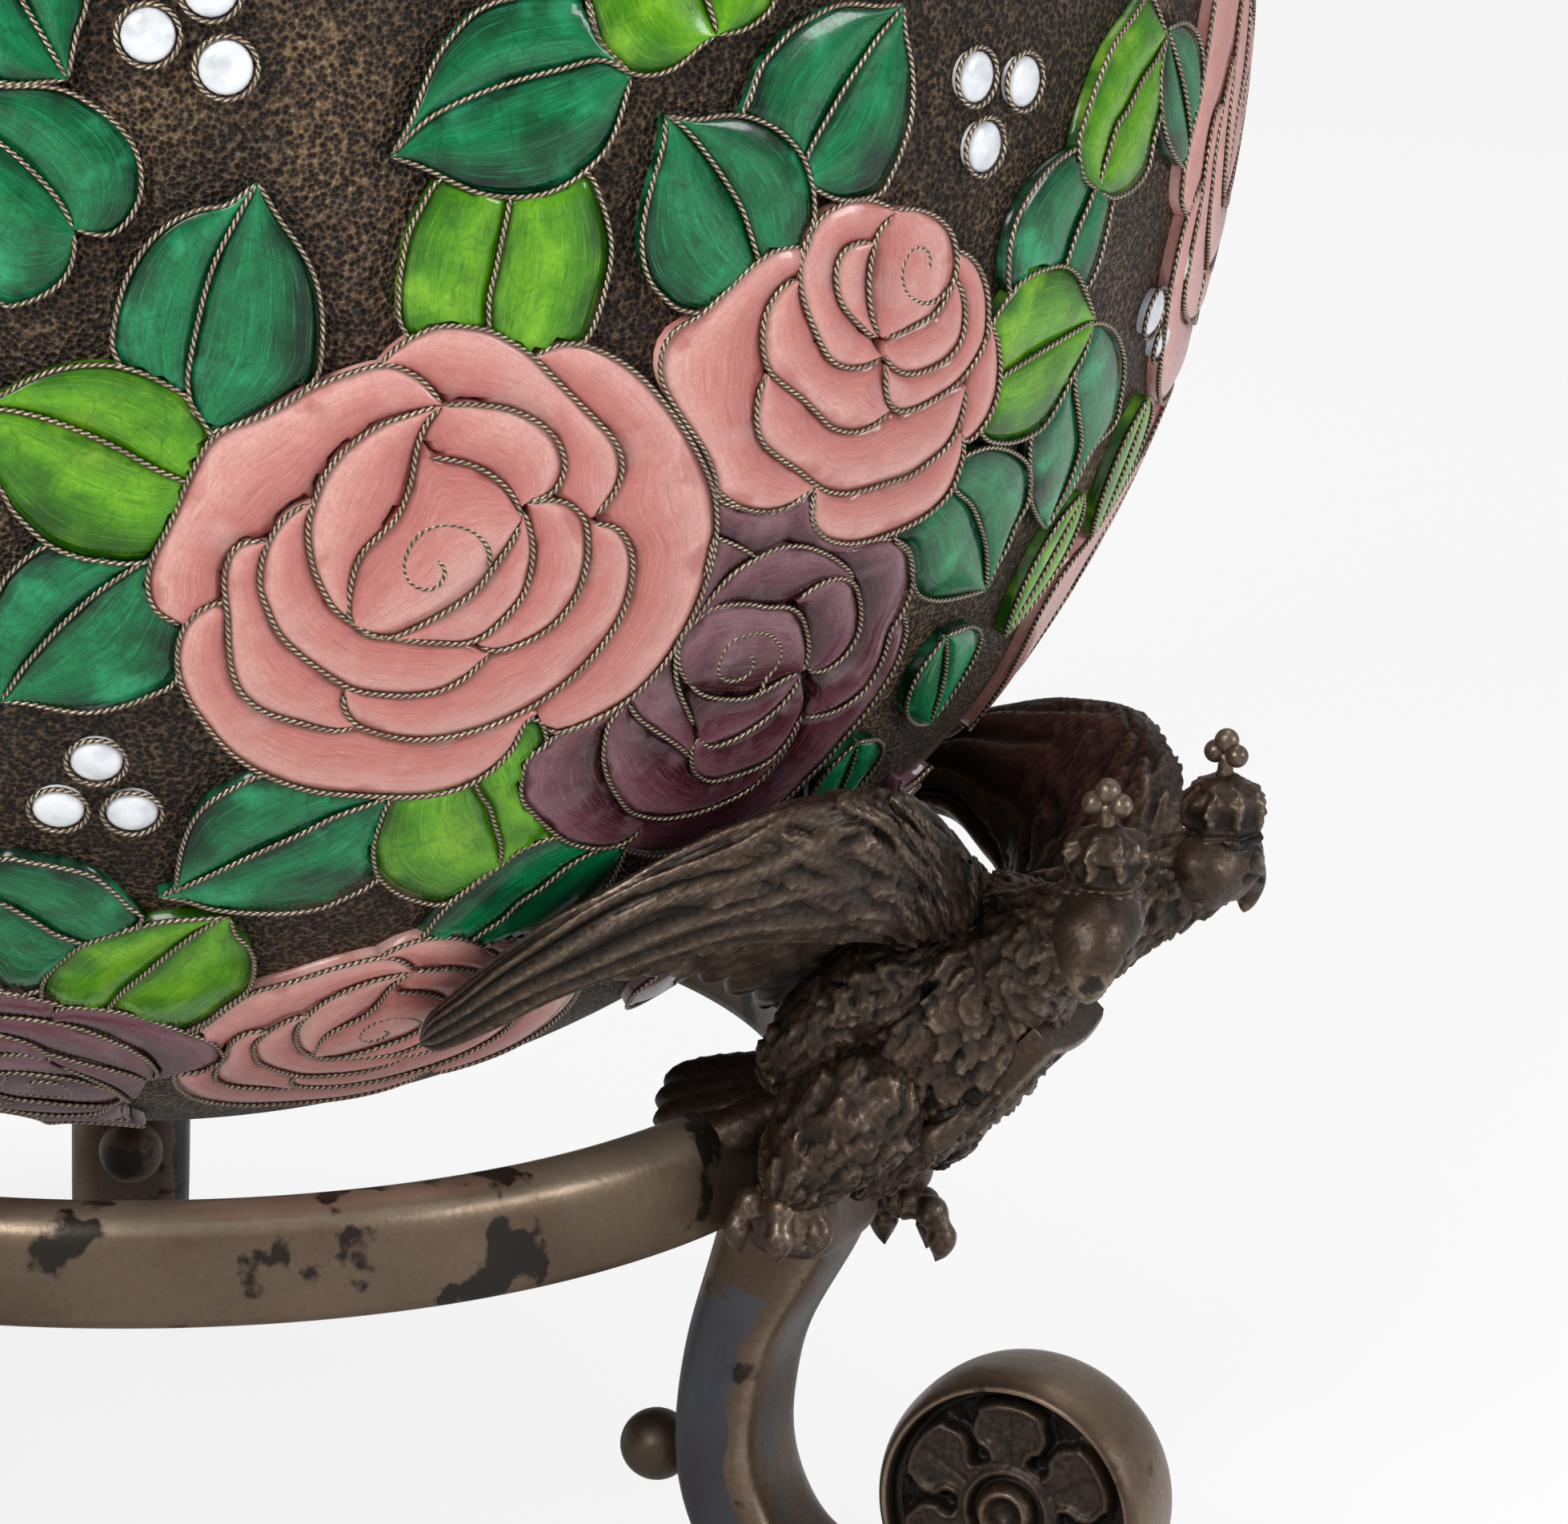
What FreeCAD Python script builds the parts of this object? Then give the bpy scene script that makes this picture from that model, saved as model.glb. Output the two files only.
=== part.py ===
# Enamelled egg cradled by three double-headed eagles on a ring and three scroll legs.
# Millimetres, +Z up. The origin is on the egg's upright axis, on the shelf under the feet.
import FreeCAD, Part
import math
import os

from FreeCAD import Matrix, Placement, Vector

# Egg
egg_radius = 55.5  # at the widest height, on the metal ground
egg_lower_height = 59.1  # from the widest height down to the bottom
egg_upper_height = 91.0  # from the widest height up to the top
egg_bottom_height = 25.3  # above the shelf
egg_centre_height = egg_bottom_height + egg_lower_height
shell_wall = 1.6
relief = 1.0  # how far the enamel stands proud of the ground
seam_rise = 21.6  # from the widest height up to where the lid lifts off
seam_height = egg_centre_height + seam_rise
rim_height = 1.6  # plain band each side of the seam
collar_seat_depth = 8.0  # length of the collar held in the lower shell
collar_rise = 4.0  # how far it stands up into the lid
collar_wall = 1.2
slide_clearance = 0.3  # between parts that lift off one another

# Ring
ring_radius = 38.0
ring_wall = 3.0
ring_height = 5.7
ring_drop = 0.6  # its lower edge hangs this far below the egg
ring_bottom = egg_bottom_height - ring_drop
ring_round = 1.2

# Scroll legs, each drawn in the plane of its own leg: out from the axis, then up
leg_azimuths = {"right": -30.0, "back": 90.0, "left": 210.0}
leg_thickness = 4.2
leg_width = 6.8
leg_corner = 0.9
leg_top_radius = 38.0  # distance of the leg's top from the axis
perch_drop = 3.3  # from the ring's lower edge down to the perch
perch_height = ring_bottom - perch_drop
leg_bow = 1.9  # how far the leg bows inward
volute_radius = 8.4
volute_reach = 12.5  # from the leg's top out to the volute's centre
volute_height = 10.6
volute_width = 7.2
volute_web = 4.6  # thickness between the two recessed faces
volute_rim = 2.4  # width of the rounded rim
collar_radius = 4.5
collar_thickness = 1.1
shoulder_depth = 2.6  # length of the seat under the ring
post_depth = 4.0  # block outside the ring
post_width = 6.0
post_rise = 4.8  # above the ring's lower edge

# Leg trimmings
rosette_radius = 5.7
rosette_thickness = 1.0
petal_count = 6
petal_slot = 0.45
boss_radius = 1.5
boss_height = 0.7
bead_radius = 1.9
bead_height = 10.2
bead_stem_radius = 0.7

# Eagle, drawn in the plane of its own leg from the perch
eagle_reach = 22.0  # from the leg's top out to the crowns
eagle_rise = 30.0  # from the perch up to the crosses
eagle_girth = 11.6  # widest breadth of the breast
head_turn = 45.0  # each head looks this far to its own side
head_length = 5.2
neck_spread = 5.0  # each head's distance from the middle plane
crown_radius = 1.9
crown_height = 2.9
cross_height = 2.6
cross_bar = 0.8
tail_length = 9.5
tail_spread = 8.0
tail_thickness = 2.2
toe_length = 3.6
toe_radius = 0.95
shield_length = 8.4
shield_width = 6.6
shield_thickness = 1.1
wing_thickness = 5.6  # at the wrist
wing_depth = 7.2  # widest height of the feathers
wing_sweep = 31.0  # angle about the egg from the wrist to the tip
wing_clearance = 0.5  # from the enamel to the middle of each feather row's inner side
wrist_spread = 9.4  # the wrist's distance from the middle plane

# Enamel motifs
wire_gap = 0.4  # groove that the border wire of a motif fills
leaf_length = 10.0
rose_radius = 12.4
dot_radius = 1.3
top_angle = 90.0  # square to a direction, or straight up in a motif
petal_lobes = 6
motif_depth = 4.0  # how far a motif's cutter runs below the ground
sector_count = 3
overrun = 40.0  # past what a cut or a trim has to clear

# Places of the motifs in one third of the egg. Each row: azimuth in degrees, height as a share of
# the half of the egg it is on, then the motif's own shares: leaves have tilt in degrees, length and
# breadth, roses have size.
pink_rose_shares = [
    (-76.2, -0.325, 1.03),
    (-56.6, -0.20, 0.80),
    (-13.0, -0.10, 0.86),
    (-69.7, -0.775, 0.78),
    (-10.0, -0.50, 0.80),
]
purple_rose_shares = [
    (-58.5, -0.455, 0.80),
    (-91.5, -0.79, 0.62),
    (5.5, -0.33, 0.70),
    (-27.0, -0.74, 0.62),
]
dark_leaf_shares = [
    (-73.8, 0.010, -109.0, 1.08, 0.82),
    (-56.8, 0.005, 34.0, 1.00, 0.72),
    (-64.0, -0.070, -32.0, 1.02, 0.70),
    (-86.2, -0.125, 14.0, 1.10, 0.80),
    (-96.5, -0.020, -42.0, 0.90, 0.80),
    (-93.0, -0.385, -140.0, 1.00, 0.66),
    (-82.4, -0.580, -123.0, 1.04, 0.58),
    (-95.5, -0.640, 109.0, 0.80, 0.54),
    (-66.0, -0.640, -127.0, 0.86, 0.46),
    (-41.6, -0.100, 47.0, 0.86, 0.64),
    (-35.0, -0.285, 19.0, 0.88, 0.64),
    (-43.7, -0.380, -57.0, 0.84, 0.58),
    (-31.0, -0.030, 36.0, 0.90, 0.60),
    (-38.0, -0.500, 33.0, 0.76, 0.58),
    (-42.5, -0.580, 20.0, 0.62, 0.50),
    (-2.0, 0.055, -60.0, 0.90, 0.66),
    (16.0, -0.220, 30.0, 0.90, 0.64),
    (8.0, -0.560, -150.0, 0.90, 0.60),
    (-14.0, -0.715, 100.0, 0.80, 0.56),
]
light_leaf_shares = [
    (-67.5, 0.075, -19.0, 0.72, 0.62),
    (-74.1, -0.090, 3.0, 0.80, 0.92),
    (-92.6, -0.230, -67.0, 1.00, 0.84),
    (-73.3, -0.560, -57.0, 0.68, 0.54),
    (-87.5, -0.690, 40.0, 0.90, 0.60),
    (-41.3, -0.225, 43.0, 0.84, 0.64),
    (-37.0, 0.010, 41.0, 0.70, 0.50),
    (-31.0, -0.420, -9.0, 0.80, 0.50),
    (-23.5, -0.360, 12.0, 0.86, 0.60),
    (0.0, -0.190, 60.0, 0.80, 0.60),
    (13.0, -0.490, 15.0, 0.86, 0.60),
    (-22.5, 0.085, 30.0, 0.74, 0.60),
]
dot_trio_shares = [
    (-87.5, 0.045, 200.0),
    (-47.6, 0.000, 150.0),
    (-92.1, -0.520, 0.0),
    (-25.5, -0.215, 90.0),
    (10.0, -0.010, 180.0),
]
lid_pink_rose_shares = [(-76.0, 0.50, 0.74)]
lid_purple_rose_shares = [(-16.0, 0.50, 0.66)]
lid_dark_leaf_shares = [
    (-92.0, 0.44, -70.0, 0.90, 0.70),
    (-60.0, 0.44, 70.0, 0.90, 0.70),
    (-76.0, 0.68, 0.0, 0.84, 0.70),
    (-31.0, 0.46, -80.0, 0.80, 0.66),
    (-1.0, 0.46, 80.0, 0.80, 0.66),
    (-76.0, 0.945, 0.0, 0.90, 0.66),
    (-16.0, 0.945, 0.0, 0.90, 0.66),
]
lid_light_leaf_shares = [
    (-90.0, 0.575, -40.0, 0.80, 0.66),
    (-62.0, 0.575, 40.0, 0.80, 0.66),
    (-76.0, 0.335, 180.0, 0.76, 0.80),
    (-16.0, 0.660, 0.0, 0.80, 0.66),
]
lid_dot_trio_shares = [
    (-46.0, 0.36, 0.0),
    (14.0, 0.36, 0.0),
    (-46.0, 0.72, 180.0),
]

# Stations of the eagle. Each row: out as a share of the reach, up as a share of the rise, then
# half depth and half breadth as shares of the girth.
body_station_shares = [
    (0.135, 0.110, 0.20, 0.26),
    (0.22, 0.25, 0.34, 0.40),
    (0.35, 0.42, 0.42, 0.50),
    (0.50, 0.56, 0.36, 0.46),
    (0.60, 0.655, 0.20, 0.34),
]
# Neck rows: out, then to the side as a share of the neck's spread, up, half height, half breadth.
neck_station_shares = [
    (0.56, 0.36, 0.60, 0.27, 0.27),
    (0.68, 0.62, 0.685, 0.22, 0.22),
    (0.78, 0.84, 0.74, 0.19, 0.19),
    (0.86, 1.00, 0.775, 0.17, 0.16),
]
# Head rows: along the gaze and up as shares of the head's length, then half height and half breadth.
head_station_shares = [
    (-0.42, 0.02, 0.20, 0.20),
    (-0.22, 0.06, 0.40, 0.38),
    (0.10, 0.06, 0.44, 0.40),
    (0.36, -0.02, 0.30, 0.26),
    (0.62, -0.16, 0.20, 0.17),
    (0.84, -0.44, 0.12, 0.09),
    (0.90, -0.68, 0.03, 0.03),
]
# Crown rows: height and radius.
crown_station_shares = [(0.0, 0.78), (0.22, 0.84), (0.30, 0.74), (0.62, 1.0), (0.88, 0.62), (1.0, 0.22)]
crown_seat_share = 0.30
cross_foot_share = 0.94
cross_arm_share = 0.62
cross_span_share = 0.36
# Wing rows: angle from the wrist as a share of the sweep, height below the egg's widest as a share
# of the lower egg, then half depth and half thickness as shares of the wing's depth and thickness.
wing_station_shares = [
    (0.10, 0.640, 0.42, 0.50),
    (0.34, 0.632, 0.50, 0.36),
    (0.58, 0.670, 0.41, 0.27),
    (0.80, 0.722, 0.25, 0.19),
    (1.00, 0.775, 0.06, 0.08),
]
wrist_out_share = 0.55
wrist_up_share = 0.80
arm_radius_share = 0.46
shoulder_out_share = 0.44
shoulder_up_share = 0.60
shoulder_side_share = 0.34
arm_root_share = 0.8
# Thigh rows: out, up and to the side as shares of reach, rise and girth, then a radius share.
thigh_station_shares = [
    (0.30, 0.33, 0.26, 0.25),
    (0.24, 0.20, 0.40, 0.24),
    (0.17, 0.09, 0.43, 0.12),
]
# Toes: their directions on plan, and their knuckle and tip.
toe_angles = [20.0, 75.0, 150.0]
toe_drop_share = 0.62
toe_tip_share = 0.45
knuckle_share = 0.55
ankle_out_share = 0.17
ankle_up_share = 0.085
ankle_side_share = 0.43
# Tail edge: inward as a share of the tail's length, and to the side as a share of its spread.
tail_root_share = 0.24
tail_edge_shares = [(0.0, 0.36), (0.55, 0.66), (0.86, 1.0), (0.97, 0.84), (0.92, 0.62), (1.02, 0.46),
                    (0.97, 0.28), (1.04, 0.12)]
# Shield edge, right half from the top: across and up as shares of its half width and its length.
shield_edge_shares = [(1.0, 0.45), (1.0, 0.02), (0.84, -0.25), (0.48, -0.46), (0.0, -0.58)]
shield_back_share = 4.0
shield_out_share = 0.34
shield_up_share = 0.40
shield_stand_share = 0.40
# Leg: heights on its two sides as shares of the perch's height, and how far inward as shares of
# the bow.
bow_height_shares = {"inner": 0.62, "outer": 0.66}
ankle_height_shares = {"inner": 0.33, "outer": 0.41}
ankle_bow_shares = {"inner": 0.15, "outer": 0.25}
volute_join_angles = {"outer": 225.0, "under": -40.0}
# Rosette slots, as shares of its radius.
slot_root_share = 0.55
slot_mouth_share = 1.10
slot_spread = 9.0
# Enamel outlines.
leaf_edges = 10
leaf_taper_share = 0.22
rose_notch_share = 0.93
round_sides = 10
small_sides = 8


# Small helpers

def at(radius, azimuth, height):
    angle = math.radians(azimuth)
    return Vector(radius * math.cos(angle), radius * math.sin(angle), height)


def turned(shape, azimuth):
    copy = shape.copy()
    copy.rotate(Vector(0, 0, 0), Vector(0, 0, 1), azimuth)
    return copy


def mirrored(shape):
    return shape.mirror(Vector(0, 0, 0), Vector(0, 1, 0))


def each_third(shape):
    return [turned(shape, sector * 360.0 / sector_count) for sector in range(sector_count)]


def section(centre, side, up, half_side, half_up, count):
    points = []
    for step in range(count):
        angle = 2 * math.pi * step / count
        points.append(centre + side * (half_side * math.cos(angle)) + up * (half_up * math.sin(angle)))
    return points


def closed(points):
    return Part.makePolygon(points + [points[0]])


def loft(rows):
    """Solid through closed rows of points, with flat facets between one row and the next."""
    faces = [Part.Face(closed(rows[0])), Part.Face(closed(rows[-1]))]
    for near, far in zip(rows, rows[1:]):
        for index in range(len(near)):
            after = (index + 1) % len(near)
            faces.append(Part.Face(closed([near[index], near[after], far[after]])))
            faces.append(Part.Face(closed([near[index], far[after], far[index]])))
    solid = Part.Solid(Part.Shell(faces))
    if solid.Volume < 0:
        solid.reverse()
    return solid


def square_to(direction, hint):
    """Two unit directions across a path: the one nearest the hint, and the one square to it."""
    along = Vector(direction).normalize()
    side = hint - along * hint.dot(along)
    side.normalize()
    return side, along.cross(side)


def loft_along(centres, hints, half_sides, half_ups, count):
    rows = []
    last = len(centres) - 1
    for index, centre in enumerate(centres):
        direction = centres[min(index + 1, last)] - centres[max(index - 1, 0)]
        side, up = square_to(direction, hints[index])
        rows.append(section(centre, side, up, half_sides[index], half_ups[index], count))
    return loft(rows)


def same(value, rows):
    return [value] * len(rows)


# Egg

def egg_arcs(height):
    """One half of the egg as two tangent arcs: end radius, side radius, end centre, joint angle."""
    end_radius = egg_radius ** 2 / height
    rise = height - end_radius
    side_radius = (egg_radius ** 2 + rise ** 2 - end_radius ** 2) / (2 * (egg_radius - end_radius))
    joint = math.atan2(rise, side_radius - egg_radius)
    return end_radius, side_radius, rise, joint


def half_height(sign):
    return egg_upper_height if sign > 0 else egg_lower_height


def egg_edges(sign, offset):
    end_radius, side_radius, rise, joint = egg_arcs(half_height(sign))
    side_centre = Vector(egg_radius - side_radius, 0, egg_centre_height)
    end_centre = Vector(0, 0, egg_centre_height + sign * rise)

    def on(centre, radius, angle):
        return centre + Vector(radius * math.cos(angle), 0, sign * radius * math.sin(angle))

    side, end = side_radius + offset, end_radius + offset
    pole = math.pi / 2
    first = Part.Arc(on(side_centre, side, 0), on(side_centre, side, joint / 2), on(side_centre, side, joint))
    second = Part.Arc(on(end_centre, end, joint), on(end_centre, end, (joint + pole) / 2),
                      end_centre + Vector(0, 0, sign * end))
    return [first.toShape(), second.toShape()]


def egg_solid(offset):
    """The egg grown by an offset all round."""
    low = Vector(0, 0, egg_centre_height - egg_lower_height - offset)
    high = Vector(0, 0, egg_centre_height + egg_upper_height + offset)
    edges = egg_edges(-1, offset) + egg_edges(1, offset) + [Part.makeLine(low, high)]
    face = Part.Face(Part.Wire(Part.__sortEdges__(edges)))
    return face.revolve(Vector(0, 0, 0), Vector(0, 0, 1), 360)


def egg_at(height, offset):
    """Radius of the grown egg at a height, and the upward tilt of its surface there."""
    sign = 1 if height > egg_centre_height else -1
    end_radius, side_radius, rise, joint = egg_arcs(half_height(sign))
    away = abs(height - egg_centre_height)
    side = side_radius + offset
    if away <= side * math.sin(joint):
        tilt = math.asin(away / side)
        return egg_radius - side_radius + side * math.cos(tilt), sign * tilt
    tilt = math.asin((away - rise) / (end_radius + offset))
    return (end_radius + offset) * math.cos(tilt), sign * tilt


def egg_axes(azimuth, tilt):
    """East, north and outward unit directions on the egg."""
    out = at(math.cos(tilt), azimuth, math.sin(tilt))
    east = at(1.0, azimuth + 90.0, 0)
    return east, out.cross(east), out


def slab(low, high):
    return Part.makeCylinder(egg_radius + overrun, high - low, Vector(0, 0, low))


def egg_shell():
    band = egg_solid(relief).common(slab(seam_height - rim_height, seam_height + rim_height))
    return egg_solid(0.0).fuse(band).cut(egg_solid(-shell_wall)).removeSplitter()


def collar():
    """Gilt collar: it follows the shell's wall below the seam and runs straight up into the lid."""
    top = seam_height + collar_rise
    outer = egg_at(top, -shell_wall)[0] - slide_clearance
    foot = seam_height - collar_seat_depth
    seat = egg_solid(-shell_wall).common(slab(foot, seam_height))
    tube = Part.makeCylinder(outer, top - foot, Vector(0, 0, foot))
    bore = Part.makeCylinder(outer - collar_wall, top - foot + overrun, Vector(0, 0, foot - overrun / 2))
    return seat.fuse(tube).cut(bore).removeSplitter()


def motif_height(share):
    return egg_centre_height + share * half_height(share)


def motif_frame(azimuth, share, turn):
    """Placement on the ground: X east, Y up the egg, Z straight out, all turned about Z."""
    height = motif_height(share)
    radius, tilt = egg_at(height, 0.0)
    east, north, out = egg_axes(azimuth, tilt)
    angle = math.radians(turn)
    up = north * math.cos(angle) + east * math.sin(angle)
    side = up.cross(out)
    place = at(radius, azimuth, height)
    return Placement(Matrix(side.x, up.x, out.x, place.x, side.y, up.y, out.y, place.y,
                            side.z, up.z, out.z, place.z, 0, 0, 0, 1))


def prism(wire, frame):
    solid = Part.Face(wire).extrude(Vector(0, 0, motif_depth * 2))
    solid.translate(Vector(0, 0, -motif_depth))
    solid.Placement = frame.multiply(solid.Placement)
    return solid


def leaf_wire(length, width):
    """Pointed leaf, broader below the middle, in short straight edges from the tip round."""
    points = []
    for step in range(leaf_edges):
        angle = 2 * math.pi * step / leaf_edges
        breadth = width / 2 * (1 - leaf_taper_share * math.cos(angle))
        points.append(Vector(breadth * math.sin(angle), length / 2 * math.cos(angle), 0))
    return closed(points)


def rose_wire(radius):
    """Round flower whose edge runs in and out once for each outer petal."""
    points = []
    for step in range(2 * petal_lobes):
        reach = radius if step % 2 else radius * rose_notch_share
        points.append(at(reach, 180.0 * step / petal_lobes, 0))
    return closed(points)


class Motif:
    """One enamel field: its cutter, the same cutter grown by the wire gap, and its place."""

    def __init__(self, place, reach, tool, grown):
        self.place = place
        self.reach = reach
        self.tool = tool
        self.grown = grown

    def moved(self, angle):
        azimuth = math.degrees(math.atan2(self.place.y, self.place.x)) + angle
        place = at(math.hypot(self.place.x, self.place.y), azimuth, self.place.z)
        return Motif(place, self.reach, turned(self.tool, angle), turned(self.grown, angle))

    def pad(self, skin, above):
        """The field on the egg, less every motif that lies over it and its wire."""
        shape = self.tool
        for other in above:
            if other.place.distanceToPoint(self.place) < other.reach + self.reach:
                shape = shape.cut(other.grown)
        return shape.common(skin)


def leaf_motif(azimuth, share, turn, length_share, width_share):
    frame = motif_frame(azimuth, share, turn)
    length, width = leaf_length * length_share, leaf_length * width_share
    grown = leaf_wire(length + 2 * wire_gap, width + 2 * wire_gap)
    return Motif(frame.Base, length / 2, prism(leaf_wire(length, width), frame), prism(grown, frame))


def rose_motif(azimuth, share, size_share):
    frame = motif_frame(azimuth, share, 0.0)
    radius = rose_radius * size_share
    return Motif(frame.Base, radius, prism(rose_wire(radius), frame), prism(rose_wire(radius + wire_gap), frame))


def enamel(skin, tables):
    """Pads of each colour. A table named first lies over those named after it."""
    above = []
    pads = {}
    for name, make, rows in tables:
        solids = []
        for row in rows:
            motif = make(*row)
            solids.extend(motif.pad(skin, above).Solids)
            for sector in range(sector_count):
                above.append(motif.moved(360.0 * sector / sector_count))
        pads[name] = [copy for solid in solids for copy in each_third(solid)]
    return pads


def dots(skin, rows):
    """Trios of round dots, spaced so that their border wires touch."""
    spacing = (dot_radius + wire_gap) * 2 / math.sqrt(3)
    solids = []
    for azimuth, share, turn in rows:
        frame = motif_frame(azimuth, share, turn)
        for corner in range(3):
            middle = at(spacing, top_angle + 120.0 * corner, 0)
            outline = section(middle, Vector(1, 0, 0), Vector(0, 1, 0), dot_radius, dot_radius, small_sides)
            solids.append(prism(closed(outline), frame).common(skin))
    return [copy for solid in solids for copy in each_third(solid)]


# Stand

def ring():
    """Turned ring with its upper outer edge rounded over."""
    inner = ring_radius - ring_wall
    top = ring_bottom + ring_height
    lean = ring_round * (1 - math.sqrt(0.5))
    edge_start = Vector(ring_radius, 0, top - ring_round)
    edge_end = Vector(ring_radius - ring_round, 0, top)
    outline = [
        Part.makeLine(Vector(inner, 0, ring_bottom), Vector(ring_radius, 0, ring_bottom)),
        Part.makeLine(Vector(ring_radius, 0, ring_bottom), edge_start),
        Part.Arc(edge_start, Vector(ring_radius - lean, 0, top - lean), edge_end).toShape(),
        Part.makeLine(edge_end, Vector(inner, 0, top)),
        Part.makeLine(Vector(inner, 0, top), Vector(inner, 0, ring_bottom)),
    ]
    return Part.Face(Part.Wire(outline)).revolve(Vector(0, 0, 0), Vector(0, 0, 1), 360)


def volute_centre():
    return Vector(leg_top_radius + volute_reach, 0, volute_height)


def on_volute(azimuth):
    angle = math.radians(azimuth)
    return volute_centre() + Vector(volute_radius * math.cos(angle), 0, volute_radius * math.sin(angle))


def falling_arc(start, direction, end):
    """Arc that leaves its start in a direction and reaches its end, in the leg's own plane."""
    across = Vector(direction.z, 0, -direction.x)
    chord = end - start
    radius = chord.dot(chord) / (2 * chord.dot(across))
    centre = start + across * radius
    middle = (start + end) * 0.5 - centre
    return Part.Arc(start, centre + middle.normalize() * abs(radius), end).toShape()


def side_edges(side, half):
    """One bowed side of the strip, from its top down to the ankle."""
    top = Vector(leg_top_radius + half, 0, perch_height)
    bow = Vector(leg_top_radius + half - leg_bow, 0, perch_height * bow_height_shares[side])
    ankle = Vector(leg_top_radius + half - leg_bow * ankle_bow_shares[side], 0,
                   perch_height * ankle_height_shares[side])
    edge = Part.Arc(top, bow, ankle).toShape()
    return edge, top, ankle, edge.tangentAt(edge.LastParameter)


def leg_outline():
    """Side view of the strip: bowed inward, out along the shelf, up into the volute and back."""
    inner, inner_top, inner_ankle, down = side_edges("inner", -leg_thickness / 2)
    outer, outer_top, outer_ankle, slope = side_edges("outer", leg_thickness / 2)
    chord = (down + Vector(1, 0, 0)).normalize()
    sole_start = inner_ankle + chord * (inner_ankle.z / -chord.z)
    sole_end = Vector(volute_centre().x, 0, 0)
    under = on_volute(volute_join_angles["under"])
    inside = volute_centre() - Vector(0, 0, volute_radius / 2)
    joined = on_volute(volute_join_angles["outer"])
    return Part.Wire(Part.__sortEdges__([
        inner,
        falling_arc(inner_ankle, down, sole_start),
        Part.makeLine(sole_start, sole_end),
        falling_arc(sole_end, Vector(1, 0, 0), under),
        Part.makeLine(under, inside),
        Part.makeLine(inside, joined),
        falling_arc(outer_ankle, slope, joined),
        outer,
        Part.makeLine(outer_top, inner_top),
    ]))


def leg_strip():
    """The bar of the leg, with the long corners of its section bevelled."""
    solid = Part.Face(leg_outline()).extrude(Vector(0, leg_width, 0))
    solid.translate(Vector(0, -leg_width / 2, 0))
    corners = []
    for edge in solid.Edges:
        first, last = edge.Vertexes[0], edge.Vertexes[-1]
        on_sole = max(first.Z, last.Z) < leg_corner
        if abs(first.Y - last.Y) < leg_corner and (on_sole or isinstance(edge.Curve, Part.Circle)):
            corners.append(edge)
    return solid.makeChamfer(leg_corner, corners)


def volute():
    """The rolled end: a thick bevelled rim round a web recessed on both faces."""
    half = volute_width / 2
    web = volute_web / 2
    inside = volute_radius - volute_rim
    crest = volute_radius - volute_rim / 2
    lip = half - volute_rim / 4
    edge = half - volute_rim / 2
    right = [(0, web), (inside, web), (inside, lip), (crest - volute_rim / 4, half), (crest, half),
             (volute_radius, edge)]
    points = [Vector(x, y, 0) for x, y in right] + [Vector(x, -y, 0) for x, y in reversed(right)]
    disc = Part.Face(closed(points)).revolve(Vector(0, 0, 0), Vector(0, 1, 0), 360)
    disc.translate(volute_centre())
    return disc


def post():
    """Collar plate, shoulder under the ring and block outside it, which carry the ring."""
    low = perch_height - collar_thickness
    half = post_width / 2
    shoulder = Part.makeBox(shoulder_depth + post_depth, post_width, ring_bottom - low,
                            Vector(ring_radius - shoulder_depth, -half, low))
    block = Part.makeBox(post_depth + ring_wall, post_width, post_rise,
                         Vector(ring_radius - ring_wall, -half, ring_bottom))
    block = block.cut(Part.makeCylinder(ring_radius, post_rise + overrun, Vector(0, 0, ring_bottom)))
    plate = Part.makeCylinder(collar_radius, collar_thickness, Vector(leg_top_radius, 0, low))
    return shoulder.fuse([block, plate])


def leg():
    recess = Part.makeCylinder(volute_radius - volute_rim, leg_width, volute_centre(), Vector(0, 1, 0))
    recess.translate(Vector(0, -leg_width / 2, 0))
    return leg_strip().cut(recess).fuse([volute(), post()]).removeSplitter()


def bead(leg_shape):
    """Curled bud on the inside of the leg: a round bead on a short stem that ends on the leg."""
    seat = leg_top_radius - leg_thickness / 2 - leg_bow
    centre = Vector(seat - bead_radius, 0, bead_height)
    rows = []
    for step in range(1, round_sides):
        angle = math.pi * step / round_sides
        size = bead_radius * math.sin(angle)
        middle = centre - Vector(bead_radius * math.cos(angle), 0, 0)
        rows.append(section(middle, Vector(0, 1, 0), Vector(0, 0, 1), size, size, round_sides))
    near = section(centre, Vector(0, 1, 0), Vector(0, 0, 1), bead_stem_radius, bead_stem_radius, small_sides)
    far = [point + Vector(bead_radius + leg_thickness, 0, 0) for point in near]
    pieces = loft(rows).fuse(loft([near, far])).cut(leg_shape).Solids
    return [min(pieces, key=lambda solid: solid.BoundBox.XMin)]


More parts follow.
